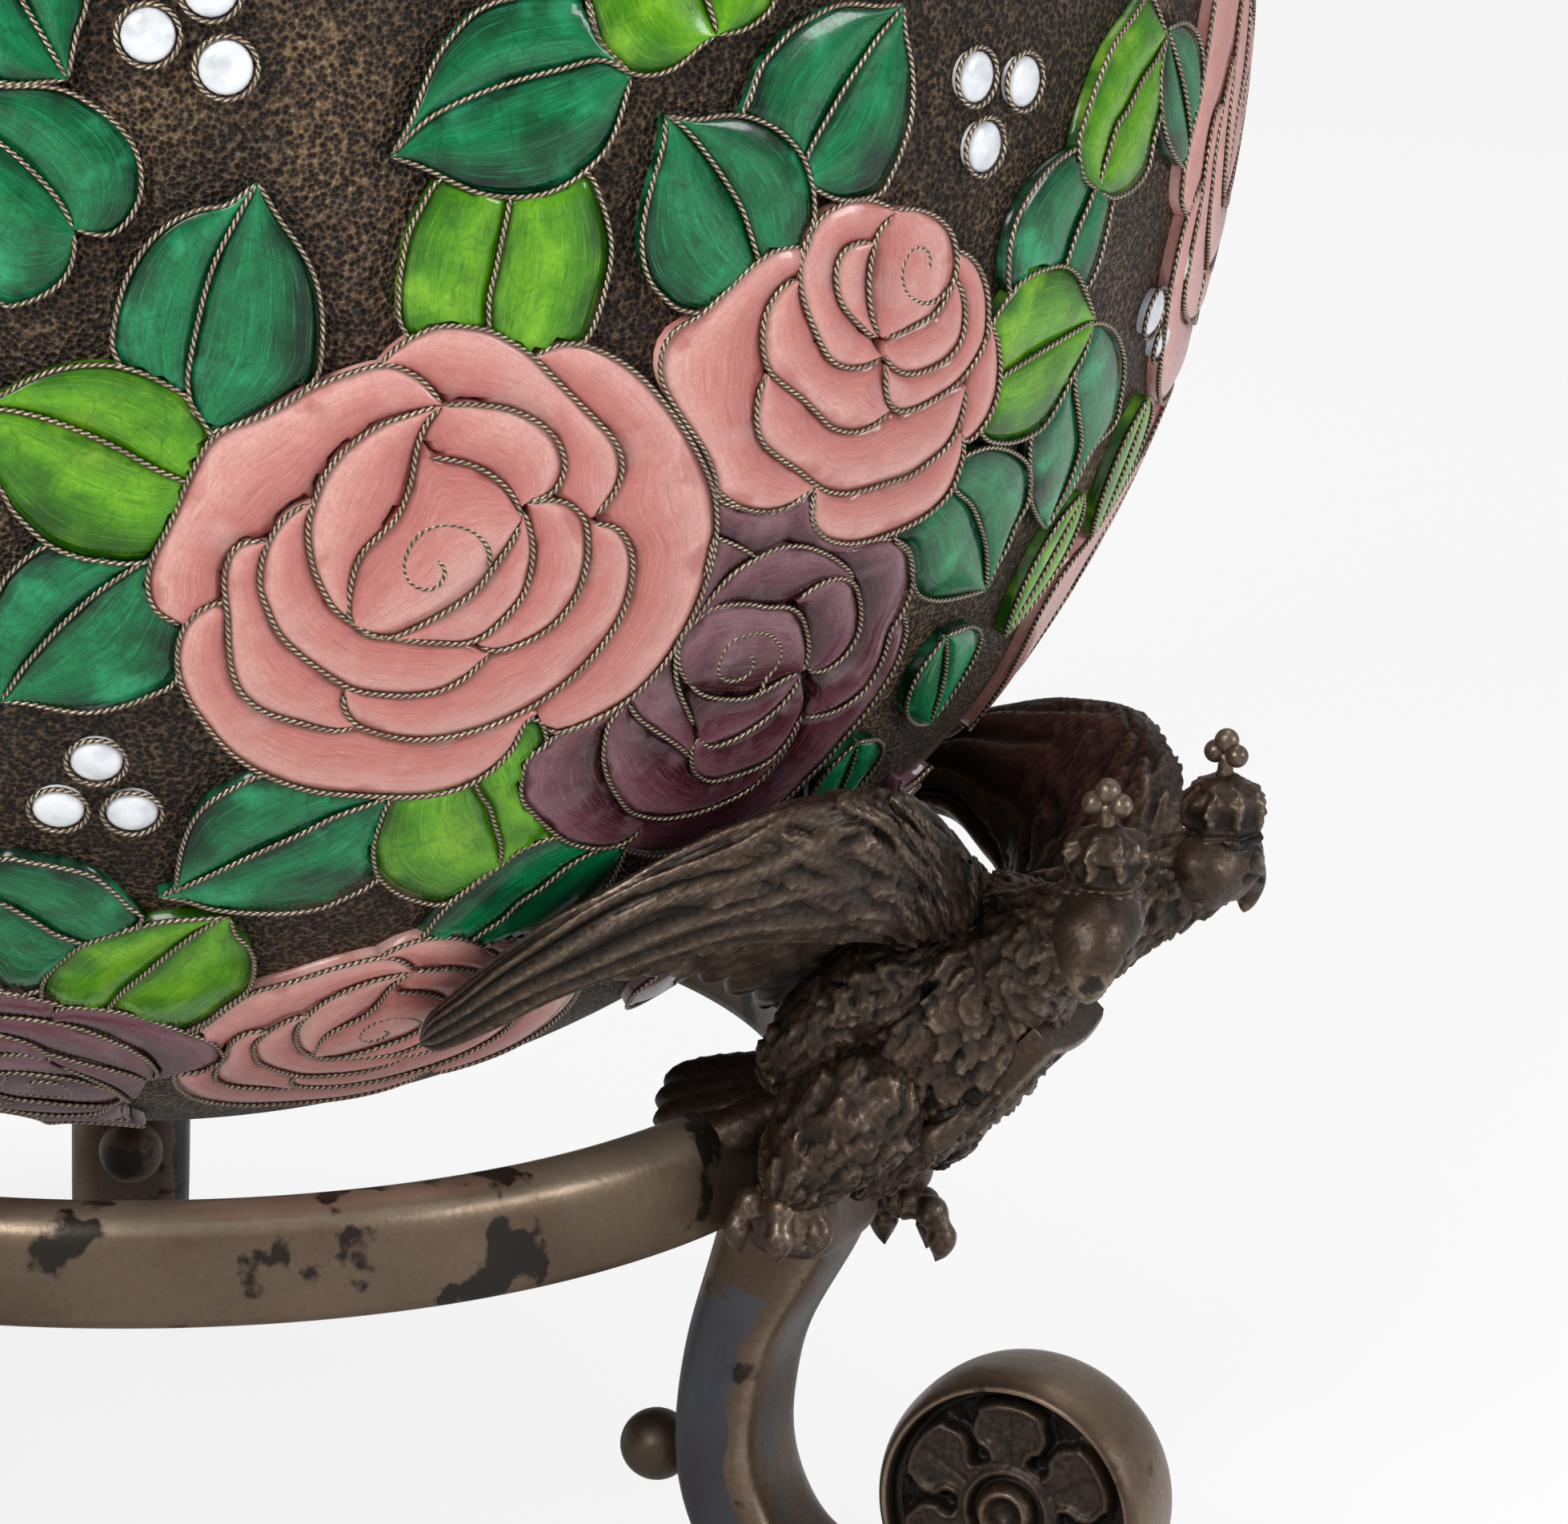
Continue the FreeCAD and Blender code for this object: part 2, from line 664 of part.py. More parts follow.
def rosette(sign):
    """Six-petal flower in the volute's recess, with wedge slots between petals and a raised boss."""
    plate = Part.makeCylinder(rosette_radius, rosette_thickness)
    for petal in range(petal_count):
        azimuth = 360.0 * (petal + 0.5) / petal_count
        root = at(rosette_radius * slot_root_share, azimuth, 0)
        side = at(petal_slot, azimuth + 90.0, 0)
        mouth_one = at(rosette_radius * slot_mouth_share, azimuth - slot_spread, 0)
        mouth_two = at(rosette_radius * slot_mouth_share, azimuth + slot_spread, 0)
        wedge = Part.Face(closed([root + side, root - side, mouth_one, mouth_two]))
        plate = plate.cut(wedge.extrude(Vector(0, 0, rosette_thickness)))
    boss = Part.makeCone(boss_radius, boss_radius / 2, boss_height, Vector(0, 0, rosette_thickness))
    flower = plate.fuse(boss).removeSplitter()
    flower.rotate(Vector(0, 0, 0), Vector(1, 0, 0), -90.0 * sign)
    flower.translate(volute_centre() + Vector(0, sign * volute_web / 2, 0))
    return flower


# Eagle

def eagle_point(out, up, aside=0.0):
    return Vector(leg_top_radius + eagle_reach * out, aside, perch_height + eagle_rise * up)


def eagle_trunk():
    centres = [eagle_point(row[0], row[1]) for row in body_station_shares]
    depths = [eagle_girth * row[2] for row in body_station_shares]
    breadths = [eagle_girth * row[3] for row in body_station_shares]
    return loft_along(centres, same(Vector(0, 1, 0), centres), breadths, depths, round_sides)


def eagle_neck():
    centres = [eagle_point(row[0], row[2], neck_spread * row[1]) for row in neck_station_shares]
    heights = [eagle_girth * row[3] for row in neck_station_shares]
    breadths = [eagle_girth * row[4] for row in neck_station_shares]
    return loft_along(centres, same(Vector(0, 0, 1), centres), heights, breadths, small_sides)


def head_centre():
    out, aside, up = neck_station_shares[-1][:3]
    return eagle_point(out, up, neck_spread * aside)


def gaze():
    return at(1.0, head_turn, 0)


def across_head():
    return at(1.0, head_turn + top_angle, 0)


def eagle_head():
    """Head and hooked beak in one loft along the gaze."""
    rows = []
    for along, up, high, wide in head_station_shares:
        centre = head_centre() + gaze() * (head_length * along) + Vector(0, 0, head_length * up)
        rows.append(section(centre, across_head(), Vector(0, 0, 1), head_length * wide, head_length * high,
                            small_sides))
    return loft(rows)


def cross_beam(start, along, side, length):
    half = cross_bar / 2
    near = section(start, side, along.cross(side), half, half, 4)
    return loft([near, [point + along * length for point in near]])


def crown():
    """Ribbed crown with a cross on top of the head."""
    base = head_centre() + Vector(0, 0, head_length * crown_seat_share)
    rows = []
    for up, size in crown_station_shares:
        centre = base + Vector(0, 0, crown_height * up)
        rows.append(section(centre, gaze(), across_head(), crown_radius * size, crown_radius * size, small_sides))
    foot = base + Vector(0, 0, crown_height * cross_foot_share)
    upright = cross_beam(foot, Vector(0, 0, 1), across_head(), cross_height)
    arm = Vector(0, 0, cross_height * cross_arm_share) - across_head() * (cross_height * cross_span_share)
    bar = cross_beam(foot + arm, across_head(), gaze(), cross_height * cross_span_share * 2)
    return loft(rows).fuse([upright, bar])


def thigh():
    centres = [eagle_point(row[0], row[1], eagle_girth * row[2]) for row in thigh_station_shares]
    radii = [eagle_girth * row[3] for row in thigh_station_shares]
    return loft_along(centres, same(Vector(0, 1, 0), centres), radii, radii, small_sides)


def talons():
    """Three toes spread on the perch from the ankle."""
    ankle = eagle_point(ankle_out_share, ankle_up_share, eagle_girth * ankle_side_share)
    toes = []
    for angle in toe_angles:
        knuckle = ankle + at(toe_length * knuckle_share, angle, 0)
        tip = ankle + at(toe_length, angle, -toe_length * toe_drop_share)
        radii = [toe_radius, toe_radius, toe_radius * toe_tip_share]
        centres = [ankle, knuckle, tip]
        toes.append(loft_along(centres, same(Vector(0, 0, 1), centres), radii, radii, 6))
    return toes


def tail():
    """Fan of tail feathers laid inward over the ring."""
    root = eagle_point(tail_root_share, 0.0).x
    low = ring_bottom + ring_height
    far = [Vector(root - tail_length * along, tail_spread * aside, low) for along, aside in tail_edge_shares]
    near = [Vector(point.x, -point.y, point.z) for point in reversed(far)]
    return Part.Face(closed(far + near)).extrude(Vector(0, 0, tail_thickness))


def body_axis():
    first, last = body_station_shares[0], body_station_shares[-1]
    return (eagle_point(last[0], last[1]) - eagle_point(first[0], first[1])).normalize()


def shield(bird):
    """Plain heater shield lying on the breast, its back fitted to the feathers."""
    right = [Vector(shield_width / 2 * across, shield_length * up, 0) for across, up in shield_edge_shares]
    left = [Vector(-point.x, point.y, 0) for point in reversed(right[:-1])]
    depth = shield_thickness * shield_back_share
    solid = Part.Face(closed(right + left)).extrude(Vector(0, 0, depth))
    solid.translate(Vector(0, 0, shield_thickness - depth))
    lean = body_axis()
    out = Vector(lean.z, 0, -lean.x)
    side = lean.cross(out)
    front = eagle_point(shield_out_share, shield_up_share) + out * (eagle_girth * shield_stand_share)
    place = Placement(Matrix(side.x, lean.x, out.x, front.x, side.y, lean.y, out.y, front.y,
                             side.z, lean.z, out.z, front.z, 0, 0, 0, 1))
    solid.Placement = place.multiply(solid.Placement)
    return max(solid.cut(bird).Solids, key=lambda piece: piece.CenterOfMass.dot(out))


def wing():
    """Folded wing: an arm from the shoulder to a round wrist, then feathers swept round the egg."""
    wrist = eagle_point(wrist_out_share, wrist_up_share, wrist_spread)
    shoulder = eagle_point(shoulder_out_share, shoulder_up_share, eagle_girth * shoulder_side_share)
    wrist_azimuth = math.degrees(math.atan2(wrist.y, wrist.x))
    depth, thickness = wing_depth * arm_radius_share, wing_thickness * arm_radius_share
    centres, hints, depths, halves = [wrist], [Vector(0, 0, 1)], [depth], [thickness]
    for turn, below, depth_share, thickness_share in wing_station_shares:
        height = egg_centre_height - egg_lower_height * below
        half = wing_thickness * thickness_share
        radius, tilt = egg_at(height, relief + wing_clearance + half)
        azimuth = wrist_azimuth + wing_sweep * turn
        centres.append(at(radius, azimuth, height))
        hints.append(egg_axes(azimuth, tilt)[1])
        depths.append(wing_depth * depth_share)
        halves.append(half)
    feathers = loft_along(centres, hints, depths, halves, round_sides)
    arm = loft_along([shoulder, wrist], same(Vector(0, 0, 1), [shoulder, wrist]),
                     [depth * arm_root_share, depth], [thickness * arm_root_share, thickness], round_sides)
    return arm.fuse(feathers)


def eagle():
    """One casting: trunk, two necks with crowned heads, thighs, talons and tail."""
    side = [eagle_neck(), eagle_head(), crown(), thigh()] + talons()
    pieces = side + [mirrored(piece) for piece in side] + [tail()]
    return eagle_trunk().fuse(pieces).cut(post())


# Assembly

def write(name, solids):
    shape = solids[0] if len(solids) == 1 else Part.makeCompound(solids)
    shape.exportStep("parts/" + name + ".step")
    print(name, "solids", len(shape.Solids), "volume", round(shape.Volume, 1), "valid", shape.isValid())


def stand_parts():
    parts = {"ring": [ring()]}
    leg_shape = leg()
    bud = bead(leg_shape)
    flowers = [rosette(-1), rosette(1)]
    bird = eagle()
    wings = [wing().cut(bird), mirrored(wing()).cut(bird)]
    plate = shield(bird)
    for name, azimuth in leg_azimuths.items():
        parts[name + "_leg"] = [turned(leg_shape, azimuth)]
        parts[name + "_leg_bead"] = [turned(solid, azimuth) for solid in bud]
        parts[name + "_leg_rosettes"] = [turned(flower, azimuth) for flower in flowers]
        parts[name + "_eagle"] = [turned(bird, azimuth)]
        parts[name + "_eagle_left_wing"] = [turned(wings[0], azimuth)]
        parts[name + "_eagle_right_wing"] = [turned(wings[1], azimuth)]
        parts[name + "_eagle_shield"] = [turned(plate, azimuth)]
    return parts


def egg_parts():
    shell = egg_shell()
    skin = egg_solid(relief).cut(egg_solid(0.0))
    parts = {
        "lower_shell": [shell.common(slab(seam_height - overrun * 3, seam_height))],
        "lid_shell": [shell.common(slab(seam_height, seam_height + overrun * 3))],
        "gilt_collar": [collar()],
    }
    parts.update(enamel(skin, [
        ("lower_pink_roses", rose_motif, pink_rose_shares),
        ("lower_purple_roses", rose_motif, purple_rose_shares),
        ("lower_dark_leaves", leaf_motif, dark_leaf_shares),
        ("lower_light_leaves", leaf_motif, light_leaf_shares),
    ]))
    parts.update(enamel(skin, [
        ("lid_pink_roses", rose_motif, lid_pink_rose_shares),
        ("lid_purple_roses", rose_motif, lid_purple_rose_shares),
        ("lid_dark_leaves", leaf_motif, lid_dark_leaf_shares),
        ("lid_light_leaves", leaf_motif, lid_light_leaf_shares),
    ]))
    parts["lower_white_dots"] = dots(skin, dot_trio_shares)
    parts["lid_white_dots"] = dots(skin, lid_dot_trio_shares)
    return parts


os.makedirs("parts", exist_ok=True)
for part_name, part_solids in {**stand_parts(), **egg_parts()}.items():
    write(part_name, part_solids)
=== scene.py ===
import bpy
import math
import numpy as np
from mathutils import Matrix


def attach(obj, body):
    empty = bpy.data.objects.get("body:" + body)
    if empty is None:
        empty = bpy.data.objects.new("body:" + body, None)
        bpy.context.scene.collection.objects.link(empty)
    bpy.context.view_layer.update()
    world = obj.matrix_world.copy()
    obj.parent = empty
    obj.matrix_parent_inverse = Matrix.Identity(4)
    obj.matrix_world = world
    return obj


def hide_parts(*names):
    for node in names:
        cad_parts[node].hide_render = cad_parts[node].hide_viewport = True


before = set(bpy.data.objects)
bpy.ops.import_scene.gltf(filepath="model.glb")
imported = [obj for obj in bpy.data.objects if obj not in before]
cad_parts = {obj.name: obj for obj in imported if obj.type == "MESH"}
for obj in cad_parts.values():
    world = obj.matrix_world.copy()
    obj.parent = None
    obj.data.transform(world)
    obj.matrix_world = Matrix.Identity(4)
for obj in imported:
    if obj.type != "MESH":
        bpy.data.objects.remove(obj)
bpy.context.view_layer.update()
print("frame loaded")

# The camera stands where the photograph was taken from. Lengths here are millimetres, and sight gives the
# stretch of its lines of sight that is searched for the egg, with the count of steps.
view = {"place": (0.0, -304.0, 123.86), "yaw": 6.416274, "pitch": 14.897350, "roll": 2.072417,
        "focal": 7478.68, "centre": (979.5, 952.0), "lens": 137.43, "sensor": 36.0, "sight": (215, 330, 461)}


def viewAxes():
    # Right, up and forward of the camera: turned by yaw, tipped by pitch, then rolled about forward.
    yaw, pitch, roll = (math.radians(view[key]) for key in ("yaw", "pitch", "roll"))
    forward = np.array([math.sin(yaw) * math.cos(pitch), math.cos(yaw) * math.cos(pitch), -math.sin(pitch)])
    right = np.array([math.cos(yaw), -math.sin(yaw), 0.0])
    up = np.cross(right, forward)
    return (right * math.cos(roll) + up * math.sin(roll), up * math.cos(roll) - right * math.sin(roll), forward)


# Lines and numbers

def stepsOf(line):
    return np.linalg.norm(np.diff(line, axis=0), axis=1)


def lengthsAlong(line):
    return np.concatenate([[0], np.cumsum(stepsOf(line))])


def unit(ways):
    return ways / np.maximum(np.linalg.norm(ways, axis=-1), 1e-9)[..., None]


def cosSin(degrees):
    return math.cos(math.radians(degrees)), math.sin(math.radians(degrees))


def turner(degrees):
    # Matrix that turns rows of points about the upright axis.
    c, s = cosSin(degrees)
    return np.array([[c, s, 0], [-s, c, 0], [0, 0, 1]])


def fullTurn(count):
    # Angles of a whole turn in even steps, the last a step short of the first.
    return np.linspace(0, 2 * math.pi, count, endpoint=False)


def squared(value, power):
    # A sine or cosine drawn towards the corners of a square by a power below one.
    return np.sign(value) * np.abs(value) ** power


def peak(value, place, width):
    # Smooth bump, one high at its place.
    return np.exp(-((value - place) / width) ** 2)


def smoothstep(value):
    value = np.clip(value, 0, 1)
    return value * value * (3 - 2 * value)


def ripple(points, size, seed):
    # Smooth irregular field between about -1 and 1, a sum of sine waves in several directions.
    random = np.random.default_rng(seed)
    ways = random.normal(size=(7, 3))
    ways = ways / np.linalg.norm(ways, axis=1)[:, None] * random.uniform(0.6, 1.5, 7)[:, None]
    phases = random.uniform(0, 2 * math.pi, 7)
    return np.sin(points @ ways.T * (2 * math.pi / size) + phases).sum(-1) / 3.2


def flowLine(points, count):
    # Catmull-Rom line through the points, read at even steps of its length.
    p = np.asarray(points, float)
    ends = np.vstack([2 * p[0] - p[1], p, 2 * p[-1] - p[-2]])
    t = np.linspace(0, len(p) - 1, 16 * (len(p) - 1) + 1)
    i = np.minimum(t.astype(int), len(p) - 2)
    f = (t - i)[:, None]
    a, b, c, d = ends[i], ends[i + 1], ends[i + 2], ends[i + 3]
    line = 0.5 * (2 * b + (c - a) * f + (2 * a - 5 * b + 4 * c - d) * f ** 2 + (3 * b - a - 3 * c + d) * f ** 3)
    lengths = lengthsAlong(line)
    wanted = np.linspace(0, lengths[-1], count)
    return np.stack([np.interp(wanted, lengths, line[:, k]) for k in range(p.shape[1])], -1)


# Meshes. A set is made of points, quads, flow UV and a value of wear and painted shading.

def gridFaces(rows, columns, closed):
    # Quads between neighbours of a grid; a closed grid also joins its last column to its first.
    i, j = np.meshgrid(np.arange(rows - 1), np.arange(columns if closed else columns - 1), indexing="ij")
    after = (j + 1) % columns
    return np.stack([i * columns + j, (i + 1) * columns + j, (i + 1) * columns + after, i * columns + after],
                    -1).reshape(-1, 4)


def faced(points, faces, away):
    # The faces, turned over if they look towards the given place.
    a, b, c, d = (points[faces[:, k]] for k in range(4))
    normals = np.cross(c - a, d - b)
    centres = (a + b + c + d) / 4
    return faces if np.sum(normals * (centres - away)) > 0 else faces[:, ::-1]


def closedOut(points, faces):
    # Faces of a closed shape, turned outward by the sign of its volume.
    a, b, c, d = (points[faces[:, k]] for k in range(4))
    volume = np.sum(a * np.cross(b, c)) + np.sum(a * np.cross(c, d))
    return faces if volume > 0 else faces[:, ::-1]


def mapped(along, across):
    # Flow UV of a grid from its two coordinates.
    return np.stack(np.broadcast_arrays(along, across), -1)


def padded(values):
    # A grid with its border doubled.
    return np.pad(values, ((1, 1), (1, 1)) + ((0, 0),) * (values.ndim - 2), mode="edge")


def asSet(grid, uv, wearAndShading, closed=True, away=None):
    # A grid of points as a set. Its faces look away from a place or, without one, out of the closed shape.
    size = grid.shape[:2]
    points, faces = grid.reshape(-1, 3), gridFaces(*size, closed)
    faces = closedOut(points, faces) if away is None else faced(points, faces, away)
    return points, faces, np.broadcast_to(uv, (*size, 2)).reshape(-1, 2), np.broadcast_to(wearAndShading, size).flatten()


def gathered(parts):
    # Several sets as one.
    start, faces = 0, []
    for part in parts:
        faces.append(part[1] + start)
        start += len(part[0])
    return (np.concatenate([part[0] for part in parts]), np.concatenate(faces),
            np.concatenate([part[2] for part in parts]), np.concatenate([part[3] for part in parts]))


def turnedBy(part, degrees):
    return (part[0] @ turner(degrees), *part[1:])


def inThirds(parts):
    whole = gathered(parts)
    return gathered([turnedBy(whole, 120 * third) for third in range(3)])


def lathe(profile, centre, axis, around, wearAndShading=0.5):
    # A profile of (radius, height) turned about an axis through a centre.
    profile = np.asarray(profile, float)
    axis = np.asarray(axis, float)
    side = np.array([1.0, 0, 0]) if abs(axis[0]) < 0.5 else np.array([0, 1.0, 0])
    other = np.cross(axis, side)
    angle = fullTurn(around)
    out = np.cos(angle)[:, None] * side + np.sin(angle)[:, None] * other
    grid = np.asarray(centre, float) + profile[:, None, :1] * out[None] + profile[:, None, 1:] * axis
    return asSet(grid, mapped(np.linspace(0, 1, len(profile))[:, None], angle / (2 * math.pi)), wearAndShading)


def makePiece(name, part, material, body, replaced=()):
    # Puts a set into a mesh, with its flow UV and its attribute of wear and painted shading.
    points, faces, uv, wearAndShading = part
    mesh = bpy.data.meshes.new(name)
    mesh.from_pydata((points * 0.001).tolist(), [], faces.tolist())
    mesh.polygons.foreach_set("use_smooth", np.ones(len(faces), bool))
    layer = mesh.uv_layers.new(name="flow")
    loops = np.empty(len(mesh.loops), np.int32)
    mesh.loops.foreach_get("vertex_index", loops)
    layer.uv.foreach_set("vector", uv[loops].astype(np.float32).ravel())
    mesh.attributes.new("wearAndShading", "FLOAT", "POINT").data.foreach_set("value", wearAndShading.astype(np.float32))
    mesh.materials.append(material)
    mesh.update()
    piece = bpy.data.objects.new(name, mesh)
    bpy.context.collection.objects.link(piece)
    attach(piece, body)
    if replaced:
        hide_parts(*replaced)


# Egg: two tangent arcs on each side of its widest height. The chart's length is its fixed radius.

egg = {"radius": 55.5, "lower": 59.1, "upper": 91.0, "centre": 84.4, "wall": 1.6, "relief": 1.0,
       "seam": 106.0, "band": 1.6, "chart": 50.0, "outerRows": 90, "innerRows": 60, "around": 200}
eggMiddle = np.array([0, 0, egg["centre"]])


def halfArcs(height):
    # End radius, side radius, height of the end's centre and angle of the joint of two tangent arcs.
    end = egg["radius"] ** 2 / height
    rise = height - end
    side = (egg["radius"] ** 2 + rise ** 2 - end ** 2) / (2 * (egg["radius"] - end))
    return end, side, rise, math.atan2(rise, side - egg["radius"])


lowerArcs, upperArcs = halfArcs(egg["lower"]), halfArcs(egg["upper"])


def arcsAt(climb):
    return tuple(np.where(climb > 0, upperArcs[k], lowerArcs[k]) for k in range(4))


def tiltAt(climb):
    # Upward tilt of the surface at a length along the meridian from the widest height.
    end, side, _, joint = arcsAt(climb)
    away = np.abs(climb)
    tilt = np.where(away <= side * joint, away / side, joint + (away - side * joint) / end)
    return np.minimum(tilt, math.pi / 2)


def onEgg(turn, climb, lift):
    # Points lifted off the egg along its normal.
    end, side, rise, joint = arcsAt(climb)
    tilt = tiltAt(climb)
    onSide = np.abs(climb) <= side * joint
    radius = np.where(onSide, egg["radius"] - side + (side + lift) * np.cos(tilt), (end + lift) * np.cos(tilt))
    up = np.where(onSide, (side + lift) * np.sin(tilt), rise + (end + lift) * np.sin(tilt))
    return np.stack([radius * np.cos(turn), radius * np.sin(turn), egg["centre"] + np.sign(climb) * up], -1)


def awayFromEgg(turn, climb):
    tilt = tiltAt(climb)
    return np.stack([np.cos(tilt) * np.cos(turn), np.cos(tilt) * np.sin(turn), np.sign(climb) * np.sin(tilt)], -1)


def radiusAt(height, lift):
    # Radius of the egg grown by a lift, at a height.
    away = height - egg["centre"]
    end, side, rise, joint = arcsAt(away)
    away = np.abs(away)
    onSide = away <= (side + lift) * np.sin(joint)
    flank = np.sqrt(np.maximum((side + lift) ** 2 - away ** 2, 0)) + egg["radius"] - side
    return np.where(onSide, flank, np.sqrt(np.maximum((end + lift) ** 2 - (away - rise) ** 2, 0)))


def climbAt(height, lift=0.0):
    # Length along the meridian from the widest height up to a height.
    away = np.asarray(height, float) - egg["centre"]
    end, side, rise, joint = arcsAt(away)
    sign, away = np.sign(away), np.abs(away)
    onSide = away <= (side + lift) * np.sin(joint)
    flank = side * np.arcsin(np.clip(away / (side + lift), 0, 1))
    cap = side * joint + end * (np.arcsin(np.clip((away - rise) / (end + lift), 0, 1)) - joint)
    return sign * np.where(onSide, flank, cap)


def seenOnEgg(pixels, lift):
    # Where the lines of sight through pixels of the photograph meet the egg grown by a lift.
    pixels = np.asarray(pixels, float)
    right, up, forward = viewAxes()
    rays = (right * ((pixels[:, :1] - view["centre"][0]) / view["focal"])
            - up * ((pixels[:, 1:] - view["centre"][1]) / view["focal"]) + forward)
    steps = np.linspace(*view["sight"])
    along = np.asarray(view["place"]) + rays[:, None] * steps[None, :, None]
    gap = np.hypot(along[..., 0], along[..., 1]) - radiusAt(along[..., 2], lift)
    inside = gap < 0
    first = np.where(inside.any(1), inside.argmax(1), gap.argmin(1))
    first = np.clip(first, 1, len(steps) - 1)
    row = np.arange(len(pixels))
    before, after = gap[row, first - 1], gap[row, first]
    share = np.where(inside.any(1), before / np.maximum(before - after, 1e-9), 1.0)[:, None]
    return along[row, first - 1] * (1 - share) + along[row, first] * share


def chartOf(pixels, lift=0.75):
    # The same places on the egg's chart: the azimuth in radians times a fixed radius, and the climb.
    place = seenOnEgg(pixels, lift)
    return np.stack([np.arctan2(place[:, 1], place[:, 0]) * egg["chart"], climbAt(place[:, 2], lift)], -1)


def onChart(chart, lift):
    return onEgg(chart[..., 0] / egg["chart"], chart[..., 1], lift)


# Finishes

def linear(code):
    # An sRGB hex value as a linear colour.
    parts = [int(code[k:k + 2], 16) / 255 for k in (1, 3, 5)]
    return tuple(part / 12.92 if part <= 0.04045 else ((part + 0.055) / 1.055) ** 2.4 for part in parts) + (1.0,)


def finish(name):
    material = bpy.data.materials.new(name)
    material.use_nodes = True
    return material, material.node_tree.nodes["Principled BSDF"]


def fill(owner, made, inputs):
    # Fills a node's sockets from values or from other sockets.
    for key, value in inputs.items():
        if hasattr(value, "is_output"):
            owner.node_tree.links.new(value, made.inputs[key])
        else:
            made.inputs[key].default_value = value
    return made


def node(owner, kind, inputs=None, **settings):
    # Adds a node to a material or to the world, sets its properties and fills its sockets.
    made = owner.node_tree.nodes.new(kind)
    for key, value in settings.items():
        setattr(made, key, value)
    return fill(owner, made, inputs or {})


def placeIn(material):
    return node(material, "ShaderNodeTexCoord").outputs["Object"]


def flowIn(material):
    return node(material, "ShaderNodeUVMap", uv_map="flow").outputs["UV"]


def noise(material, place, scale, detail, output="Fac"):
    inputs = {"Vector": place, "Scale": scale, "Detail": detail}
    return node(material, "ShaderNodeTexNoise", inputs).outputs[output]


def shades(material, value, stops):
    # A colour ramp from (place, hex) stops.
    ramp = node(material, "ShaderNodeValToRGB", {"Fac": value})
    while len(ramp.color_ramp.elements) < len(stops):
        ramp.color_ramp.elements.new(0.5)
    for element, (place, code) in zip(ramp.color_ramp.elements, stops):
        element.position = place
        element.color = linear(code)
    return ramp.outputs["Color"]


def blend(material, share, first, second, mode="MIX"):
    inputs = {0: share, 6: first, 7: second}
    return node(material, "ShaderNodeMix", inputs, data_type="RGBA", blend_type=mode).outputs[2]


def sized(material, value, low, high, newLow, newHigh):
    inputs = {"Value": value, "From Min": low, "From Max": high, "To Min": newLow, "To Max": newHigh}
    return node(material, "ShaderNodeMapRange", inputs).outputs["Result"]


def tinted(material, colour, value, low, high, share, code):
    # The colour, with up to a share of another laid over it as a value goes from low to high.
    return blend(material, sized(material, value, low, high, 0.0, share), colour, linear(code))


def reckoned(material, how, first, second):
    return node(material, "ShaderNodeMath", {0: first, 1: second}, operation=how).outputs[0]


def bumped(material, shader, *layers):
    # Bumps laid one over the other, each with its height, its strength and its depth in metres.
    inputs = {}
    for height, strength, depth in layers:
        inputs.update({"Height": height, "Strength": strength, "Distance": depth})
        inputs["Normal"] = node(material, "ShaderNodeBump", inputs).outputs["Normal"]
    fill(material, shader, {"Normal": inputs["Normal"]})


# Ramp of each enamel from its inner to its outer wire, its tones in the depth and its share of cracks.
enamelLook = {
    "pink": {"across": [(0.0, "#8a453f"), (0.14, "#b26a63"), (0.5, "#c4827a"), (0.85, "#d9a59c"), (1.0, "#c68a81")],
             "deep": "#a25650", "streak": "#e0bab1", "crack": 0.10},
    "purple": {"across": [(0.0, "#26080f"), (0.25, "#421a22"), (0.6, "#663944"), (0.88, "#865c66"), (1.0, "#5c2f38")],
               "deep": "#200810", "streak": "#a8828a", "crack": 0.06},
    "darkGreen": {"across": [(0.0, "#02341b"), (0.3, "#087745"), (0.62, "#05653a"), (0.86, "#024526"),
                             (1.0, "#012412")], "deep": "#011f10", "streak": "#3cc288", "crack": 0.30},
    "lightGreen": {"across": [(0.0, "#367205"), (0.34, "#67a813"), (0.68, "#448709"), (1.0, "#205002")],
                   "deep": "#174802", "streak": "#9ccd36", "crack": 0.28},
}


